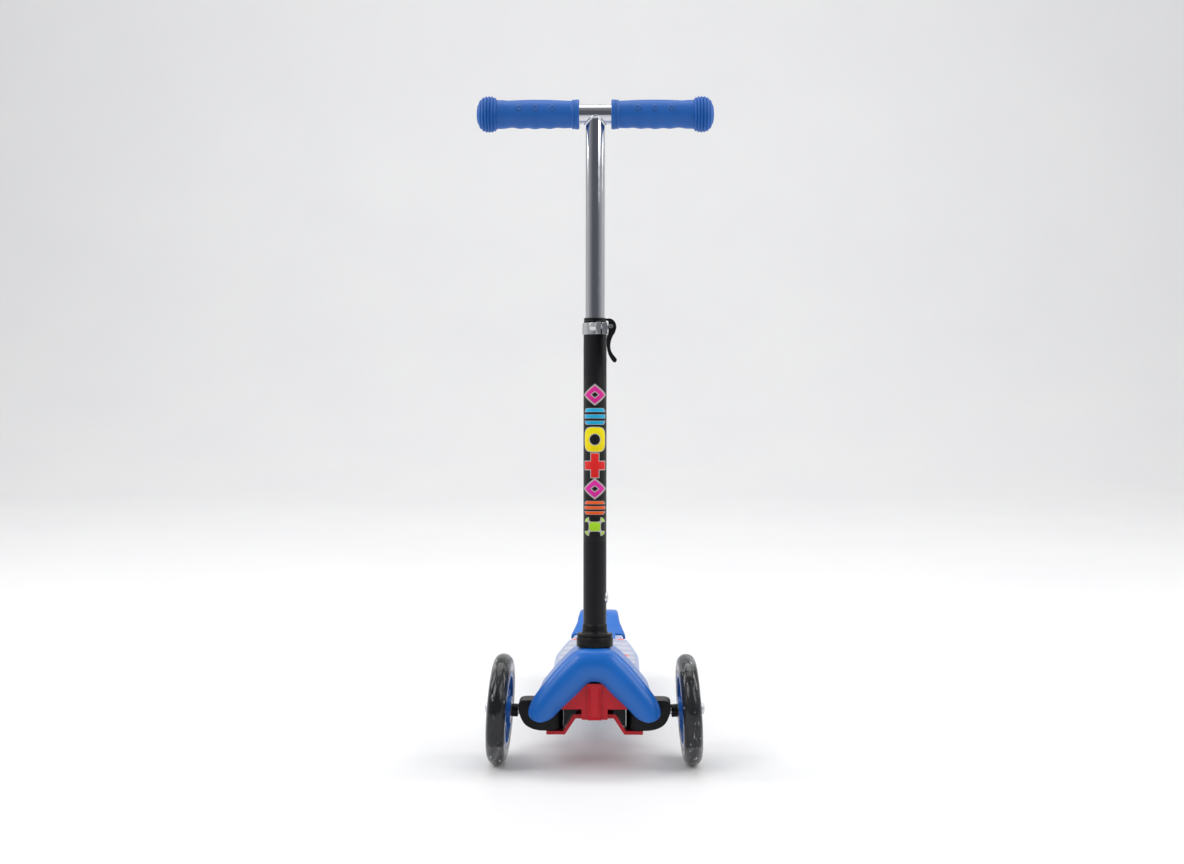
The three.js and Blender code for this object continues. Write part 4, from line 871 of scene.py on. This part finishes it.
def finger_scallops(x, t):
    """Draws the underside in by shallow waves: 1 - depth (1 - cos k x) / 2 where sin t < 0."""
    x = np.abs(x)
    window = smoothstep(30, 36, x) * smoothstep(98, 92, x)
    wave = 0.5 - 0.5 * np.cos((x - 33.0) / 16.0 * 2 * np.pi)
    return 1 - 0.06 * window * wave * smoothstep(0.15, 0.9, -np.sin(t))


def side_name(side):
    """Side of the scooter: 1 is the right and -1 the left."""
    return "right" if side > 0 else "left"


def both_ends(half):
    """A profile's first half, from its left end, completed by its mirror image."""
    return half + [(r, -x) for r, x in half[::-1]]


def make_grip(side):
    """Rubber grip, turned about the bar, with shallow scallops for the fingers."""
    profile = [(r, side * x) for r, x in grip_profile(settings().rib_height / MM)]
    name = side_name(side)
    Surface(stem_frame).turned("x", profile, 96, (0, 0, BAR_S), finger_scallops).piece(
        name + "_grip_rubber", "handlebar", "grip", (name + "_grip",),
        merge=1e-7, sharp=55)


# --- wheels
def make_tyre(name, body, place, radius, bore, replaced):
    """Round crown, radius c about (R - c), with flat beads and a shallow parting line round its
    middle; a thin dark band lines its bore as painted shade for the tyre's dark middle."""
    crown = TYRE_HALF
    a = np.radians(np.linspace(-90, 90, 61))
    parting = 0.12 * np.exp(-(a / 0.02) ** 2)
    r = radius - crown + crown * np.cos(a) - parting
    bead = [(bore + 0.35, -9.2), (bore + 0.6, -9.5), (bore + 3, -9.65),
            (radius - crown - 0.5, -9.97)]
    profile = bead + list(zip(r, crown * np.sin(a))) + [(r_, -x_) for r_, x_ in bead[::-1]]
    band = both_ends([(bore + 0.02, -9.0), (bore + 0.16, -9.0)])
    Surface(place).turned("x", band, 128).piece(name.replace("ring", "band"), body, "band")
    Surface(place).turned("x", profile, 160).piece(name, body, "tyre", (replaced,), sharp=50)


def make_front_core(side):
    """Rim, hub and spokes whose half width and half thickness flare by exponentials towards rim
    and hub, with a superellipse section."""
    name = side_name(side)
    surface = Surface(wheel_frame(side))
    rim = [(36.4, -9.5), (40.6, -9.5), (41, -9.1), (41, 9.1), (40.6, 9.5), (36.4, 9.5), (36, 9.1),
           (35.6, 3), (35.6, -3), (36, -9.1)]
    surface.turned("x", rim, 120)
    hub = [(13.9, -12), (14.5, -11.4), (15.2, 0), (14.5, 11.4), (13.9, 12), (11.8, 12),
           (11.3, 11.6), (11.3, 4.7), (8, 4.7), (8, -4.7), (11.3, -4.7), (11.3, -11.6),
           (11.8, -12)]
    surface.turned("x", hub, 96)
    spokes, inside, outside, squareness = 5, 14.2, 36.6, 0.45
    radius = np.linspace(13.6, outside, 26)
    half = 3.9 + 3.4 * np.exp((radius - outside) / 2.4) + 2.4 * np.exp((inside - radius) / 2.2)
    thick = 6.2 + 1.6 * np.exp((radius - outside) / 4) + 1.6 * np.exp((inside - radius) / 3)
    around = np.linspace(0, 2 * np.pi, 28, endpoint=False)
    cx, cy = (np.sign(w) * np.abs(w) ** squareness for w in (np.cos(around), np.sin(around)))
    x, y = thick[:, None] * cx, half[:, None] * cy
    z = np.broadcast_to(radius[:, None], x.shape)
    for i in range(spokes):
        c, s = math.cos(i * 2 * np.pi / spokes), math.sin(i * 2 * np.pi / spokes)
        surface.capped(np.stack([x, y * c - z * s, y * s + z * c], -1))
    surface.piece(name + "_core_moulding", name + "_wheel", "core",
                  (name + "_wheel_core",), merge=1e-8, sharp=40)


def make_rear_core():
    """Rim and hub joined by a disc that is narrower than either."""
    profile = [(21.4, 9.5), (24.6, 9.5), (25, 9.1), (25, -9.1), (24.6, -9.5), (21.4, -9.5),
               (21, -9.1), (20.6, -4.8), (19.8, -4), (15.6, -4), (14.8, -4.8), (14.5, -11.4),
               (13.9, -12), (11.8, -12), (11.3, -11.6), (11.3, -4.7), (8, -4.7), (8, 4.7),
               (11.3, 4.7), (11.3, 11.6), (11.8, 12), (13.9, 12), (14.5, 11.4), (14.8, 4.8),
               (15.6, 4), (19.8, 4), (20.6, 4.8), (21, 9.1)]
    Surface(rear_frame).turned("x", profile, 120).piece(
        "rear_core_moulding", "rear_wheel", "core",
        ("rear_wheel_core",), sharp=40)


def make_axle(side):
    """Axle bolt with a shoulder between the bearings and a low domed head, and its spacer."""
    name = side_name(side)
    head, tip, shank, shoulder = 12.3, -47.0, 4, 6
    dome = [(shoulder * math.cos(a), head + 1.8 + 2.8 * math.sin(a))
            for a in np.radians(np.arange(0, 90, 7.5))]
    bolt = [(0, tip), (3.6, tip), (shank, tip + 0.4), (shank, -4.7), (shoulder, -4.7),
            (shoulder, 4.7), (shank, 4.7), (shank, head), (5.7, head), (shoulder, head + 0.3),
            *dome, (0, head + 4.6)]
    Surface(wheel_frame(side)).turned("x", bolt, 64).piece(
        name + "_axle_turned", name + "_arm", "zinc", (name + "_axle_bolt",))
    spacer = [(4.3, -19.3), (6.6, -19.3), (7, -18.9), (7, -12.7), (6.6, -12.3), (4.3, -12.3)]
    Surface(wheel_frame(side)).turned("x", spacer, 64).piece(
        name + "_axle_sleeve", name + "_arm", "black",
        (name + "_axle_spacer",))


def make_nose_ribs():
    """Two slim upright ribs on the nose's front, and a rolled lip under them."""
    surface = Surface(chassis_frame)
    rib = [(-21.4, 53.2), (-22.9, 54.4), (-22.9, 84.0), (-21.4, 88.5)]
    for x in (-5.4, 5.4):
        surface.prism("yz", rib, x - 0.8, x + 0.8)
    lip = softened([(-19.0, 52.6), (-23.2, 52.6), (-23.2, 55.4), (-19.0, 55.4)], 1.2)
    surface.prism("yz", lip, -7.4, 7.4).piece(
        "nose_ribs", "chassis", "red", merge=1e-8, bevel=0.45)


# --- deck and fender
def deck_outline(inset):
    """The deck's outline in plan, drawn in from its rim by the inset."""
    half = 50 - inset
    rough = mirrored([(30 - inset * 0.6, 42 + inset), (half, 84), (half, 200), (half - 0.6, 232),
                      (43.5 - inset, 284), (36.8 - inset, 334), (34 - inset, 343 - inset)])
    return softened(rough, 16, 10)


def make_pad():
    """Printed tread sheet lying in the deck's border."""
    Surface(chassis_frame).prism("xy", deck_outline(4), 73.8, 75.0).piece(
        "tread_sheet", "chassis", "pad", ("deck_pad",), bevel=0.4)


def make_fender():
    """Stations along a ramp and an arc about the rear axle. Across, the section is a crown of
    half width w that falls through a rounded shoulder into a straight skirt."""
    ramp_steps, top_angle, tail_angle = 25, math.radians(112), math.radians(35)
    crown_end, shoulder_drop, tail_start, tail_taper = 0.72, 7.4, 0.93, 0.28
    angles = np.linspace(top_angle, tail_angle, 60)
    arc_y = WHEELBASE + FENDER_R * np.cos(angles)
    arc_z = REAR_TYRE[0] + FENDER_R * np.sin(angles)
    run = arc_y[0] - FENDER_START
    rise = run * math.tan(top_angle - math.pi / 2)
    t = np.linspace(0, 1, ramp_steps + 1)[:-1]
    y = np.concatenate([FENDER_START + run * t, arc_y])
    z = np.concatenate([arc_z[0] - rise + rise * t, arc_z])
    leaning = np.concatenate([np.full(ramp_steps, top_angle), angles])
    half = np.interp(y, [FENDER_START, 364, 390, 412, 470], [34.5, 34.2, 27.5, 25.5, 24.5])
    end = np.clip((np.linspace(0, 1, len(y)) - tail_start) / (1 - tail_start), 0, 1)
    half = half * (1 - end ** 2.4 * tail_taper)
    v = np.linspace(-1, 1, 49)
    across = np.sign(v) * (1 - (1 - np.abs(v)) ** 1.6)
    shoulder = np.clip((np.abs(v) - crown_end) / (1 - crown_end), 0, 1)
    drop = 0.6 * np.minimum(np.abs(v) / crown_end, 1) ** 2 + shoulder_drop * shoulder ** 1.35
    x = half[:, None] * np.clip(across / 0.975, -1, 1)[None]
    points = np.stack([x, y[:, None] - np.cos(leaning)[:, None] * drop,
                       z[:, None] - np.sin(leaning)[:, None] * drop], -1)
    made = Surface(chassis_frame).grid(points).piece(
        "fender_shell", "brake", "blue", ("brake_fender",), sharp=60)
    make_wall(made, (0, 0, 1), 3.2 * MM)
    hinge = Surface(chassis_frame)
    barrel = both_ends([(2.8, -22), (5.3, -22), (5.6, -21.7)])
    hinge.turned("x", barrel, 48, (0, HINGE_Y, HINGE_Z))
    hinge.prism("yz", [(HINGE_Y, 75.5), (366, 82.6), (366, 77), (HINGE_Y, 66.4)], -21.6, 21.6)
    hinge.piece("fender_barrel", "brake", "blue", merge=1e-8, bevel=0.5)


# --- carried-over nodes
NODE_FINISH = {slot: finish for finish, slot in FINISH_SLOT.items()}
SOFT_EDGES = {  # width in mm
    "chassis_nose": 1.0, "left_steering_arm": 1.6, "right_steering_arm": 1.6, "deck": 1.2,
    "tie_rod": 0.8, "steering_head": 0.6, "brake_pad": 0.8, "left_kingpin": 0.5,
    "right_kingpin": 0.5, "left_lean_stop": 0.6, "right_lean_stop": 0.6}


def dress_nodes():
    """Gives every node of the frame its finish, and soft edges where they show."""
    slots = {part["node"]: part["material_slot"] for part in frame["record"]["subparts"]}
    for name, node in frame["nodes"].items():
        node.data.materials.clear()
        node.data.materials.append(FINISHES[NODE_FINISH[slots[name]]])
        if name in SOFT_EDGES:
            soften_edges(node, SOFT_EDGES[name], 3, NODE_EDGE_ANGLE)


# --- operators
def run(*makers):
    """An operator's work: its makers, one after another."""
    for make in makers:
        make()
    return {"FINISHED"}


class SCOOTER_OT_finishes(bpy.types.Operator):
    """Make the procedural finishes and put them on the frame's nodes"""
    bl_idname = "scooter.finishes"
    bl_label = "Finishes"

    def execute(self, context):
        return run(make_finishes, dress_nodes)


class SCOOTER_OT_hood(bpy.types.Operator):
    """Build the blue steering hood"""
    bl_idname = "scooter.hood"
    bl_label = "Steering hood"

    def execute(self, context):
        return run(make_hood)


class SCOOTER_OT_stem(bpy.types.Operator):
    """Build the socket, the painted tube, its sticker, button and collar"""
    bl_idname = "scooter.stem"
    bl_label = "Stem"

    def execute(self, context):
        return run(make_socket, make_tube, make_sticker, make_button, make_collar)


class SCOOTER_OT_clamp(bpy.types.Operator):
    """Build the height clamp with its lever"""
    bl_idname = "scooter.clamp"
    bl_label = "Clamp"

    def execute(self, context):
        return run(make_band, make_nut, make_lever, make_cam_pin)


class SCOOTER_OT_handlebar(bpy.types.Operator):
    """Build the chromed bar and its two grips"""
    bl_idname = "scooter.handlebar"
    bl_label = "Handlebar"

    def execute(self, context):
        make_t_bar()
        make_grip(-1)
        make_grip(1)
        return {"FINISHED"}


class SCOOTER_OT_wheels(bpy.types.Operator):
    """Build the three wheels and the front axles"""
    bl_idname = "scooter.wheels"
    bl_label = "Wheels"

    def execute(self, context):
        for side, name in ((-1, "left"), (1, "right")):
            make_tyre(name + "_tyre_ring", name + "_wheel", wheel_frame(side),
                      *FRONT_TYRE, name + "_tyre")
            make_front_core(side)
            make_axle(side)
        make_tyre("rear_tyre_ring", "rear_wheel", rear_frame, *REAR_TYRE, "rear_tyre")
        make_rear_core()
        return {"FINISHED"}


class SCOOTER_OT_deck(bpy.types.Operator):
    """Build the nose ribs, the deck's tread sheet and the brake fender"""
    bl_idname = "scooter.deck"
    bl_label = "Deck and fender"

    def execute(self, context):
        return run(make_nose_ribs, make_pad, make_fender)


class SCOOTER_OT_stage(bpy.types.Operator):
    """Lay the floor, hang the lights and set up the camera"""
    bl_idname = "scooter.stage"
    bl_label = "Stage"

    def execute(self, context):
        return run(make_floor, make_lights, make_camera)


def make_floor():
    """A pale seamless sweep: flat under the scooter, rising in a wide curve far behind it."""
    bend_start, bend_r, flat_steps = 2.5, 1.5, 14
    turn = np.linspace(0.1, np.pi / 2, 16)
    y = np.concatenate([np.linspace(-4.0, bend_start, flat_steps),
                        bend_start + bend_r * np.sin(turn), [4.0]])
    z = np.concatenate([np.zeros(flat_steps), bend_r - bend_r * np.cos(turn), [5.0]])
    x = np.linspace(-5.0, 5.0, 5)
    grid = np.stack(np.broadcast_arrays(x[None], y[:, None], z[:, None]), -1)
    surface = Surface().grid(grid)
    mesh = bpy.data.meshes.new("studio_floor")
    mesh.from_pydata(np.vstack(surface.points).tolist(), [], surface.faces)
    mesh.shade_smooth()
    f = Finish("studio_floor")
    tone = f.ramp(f.noise(3.0, 2.0), [(0.3, (0.76, 0.76, 0.765)), (0.7, (0.78, 0.78, 0.78))])
    f.feed(Base_Color=tone, Roughness=0.55)
    mesh.materials.append(f.material)
    floor = bpy.data.objects.new("studio_floor", mesh)
    bpy.context.scene.collection.objects.link(floor)


def add_light(name, place, target, size, power):
    """A rectangular lamp at a place in metres, turned to face its target."""
    data = bpy.data.lights.new(name, "AREA")
    data.shape = "RECTANGLE"
    data.size, data.size_y = size
    data.energy = power
    light = bpy.data.objects.new(name, data)
    light.location = place
    way = Vector(target) - Vector(place)
    light.rotation_euler = way.to_track_quat("-Z", "Y").to_euler()
    bpy.context.scene.collection.objects.link(light)


LIGHTS = (  # name, place, target, size, power
    ("key", (-1.7, -1.6, 2.2), (0, 0, 0.3), (1.3, 1.3), 30),
    ("fill", (1.8, -1.5, 1.8), (0, 0, 0.3), (1.2, 1.5), 20),
    ("side_left", (-1.7, 0.2, 1.5), (0, 0, 0.2), (0.5, 1.4), 12),
    ("side_right", (1.7, 0.2, 1.5), (0, 0, 0.2), (0.5, 1.4), 12),
    ("top", (0.0, 0.3, 3.0), (0, 0, 0), (2.2, 1.6), 24),
    ("back", (0.0, 1.6, 3.4), (0, 4.0, 1.0), (6.0, 0.8), 80),
)
# grey of the sky from behind the camera to behind the scooter
SKY = ((0.06, (0.12, 0.125, 0.14)), (0.6, (0.62, 0.62, 0.62)))


def make_lights():
    """Large soft lights high on both sides, one overhead and one on the back of the sweep. The sky
    is darker behind the camera than behind the scooter, which gives the chrome its bands."""
    for light in LIGHTS:
        add_light(*light)
    world = bpy.data.worlds.new("studio")
    world.use_nodes = True
    tree = world.node_tree
    place = tree.nodes.new("ShaderNodeTexCoord")
    split = tree.nodes.new("ShaderNodeSeparateXYZ")
    ramp = tree.nodes.new("ShaderNodeValToRGB")
    half = tree.nodes.new("ShaderNodeMath")  # turns -1 to 1 into 0 to 1
    half.operation = "MULTIPLY_ADD"
    half.inputs[1].default_value = half.inputs[2].default_value = 0.5
    tree.links.new(place.outputs["Generated"], split.inputs[0])
    tree.links.new(split.outputs["Y"], half.inputs[0])
    tree.links.new(half.outputs[0], ramp.inputs[0])
    for element, (at, colour) in zip(ramp.color_ramp.elements, SKY):
        element.position = at
        element.color = (*colour, 1)
    tree.links.new(ramp.outputs[0], tree.nodes["Background"].inputs["Color"])
    bpy.context.scene.world = world
    bpy.context.scene.view_settings.view_transform = "Standard"


def make_camera():
    """A long view from straight ahead, a little above the middle of the scooter."""
    data = bpy.data.cameras.new("front_view")
    data.lens = 57.07
    data.sensor_width = 36.0
    camera = bpy.data.objects.new("front_view", data)
    camera.location = (0.025, -2.2068, 0.504)
    camera.rotation_euler = (math.radians(85.9), 0, math.radians(0.80))
    bpy.context.scene.collection.objects.link(camera)
    bpy.context.scene.camera = camera


class SCOOTER_PT_panel(bpy.types.Panel):
    """Sidebar panel with the scooter's settings and builders"""
    bl_label = "Kick scooter"
    bl_space_type = "VIEW_3D"
    bl_region_type = "UI"
    bl_category = "Scooter"

    def draw(self, context):
        layout = self.layout
        for key in ScooterSettings.__annotations__:
            layout.prop(context.scene.scooter, key)
        for operator in OPERATORS:
            layout.operator(operator.bl_idname)


OPERATORS = (SCOOTER_OT_finishes, SCOOTER_OT_hood, SCOOTER_OT_stem, SCOOTER_OT_clamp,
             SCOOTER_OT_handlebar, SCOOTER_OT_wheels, SCOOTER_OT_deck, SCOOTER_OT_stage)
CLASSES = (ScooterSettings, *OPERATORS, SCOOTER_PT_panel)


def register():
    """Adds the classes, and the settings to every scene."""
    for cls in CLASSES:
        bpy.utils.register_class(cls)
    bpy.types.Scene.scooter = PointerProperty(type=ScooterSettings)


def unregister():
    """Takes away what register added."""
    del bpy.types.Scene.scooter
    for cls in reversed(CLASSES):
        bpy.utils.unregister_class(cls)


def main():
    """Runs every builder."""
    register()
    for operator in OPERATORS:
        group, name = operator.bl_idname.split(".")
        getattr(getattr(bpy.ops, group), name)()


if __name__ == "__main__":
    main()
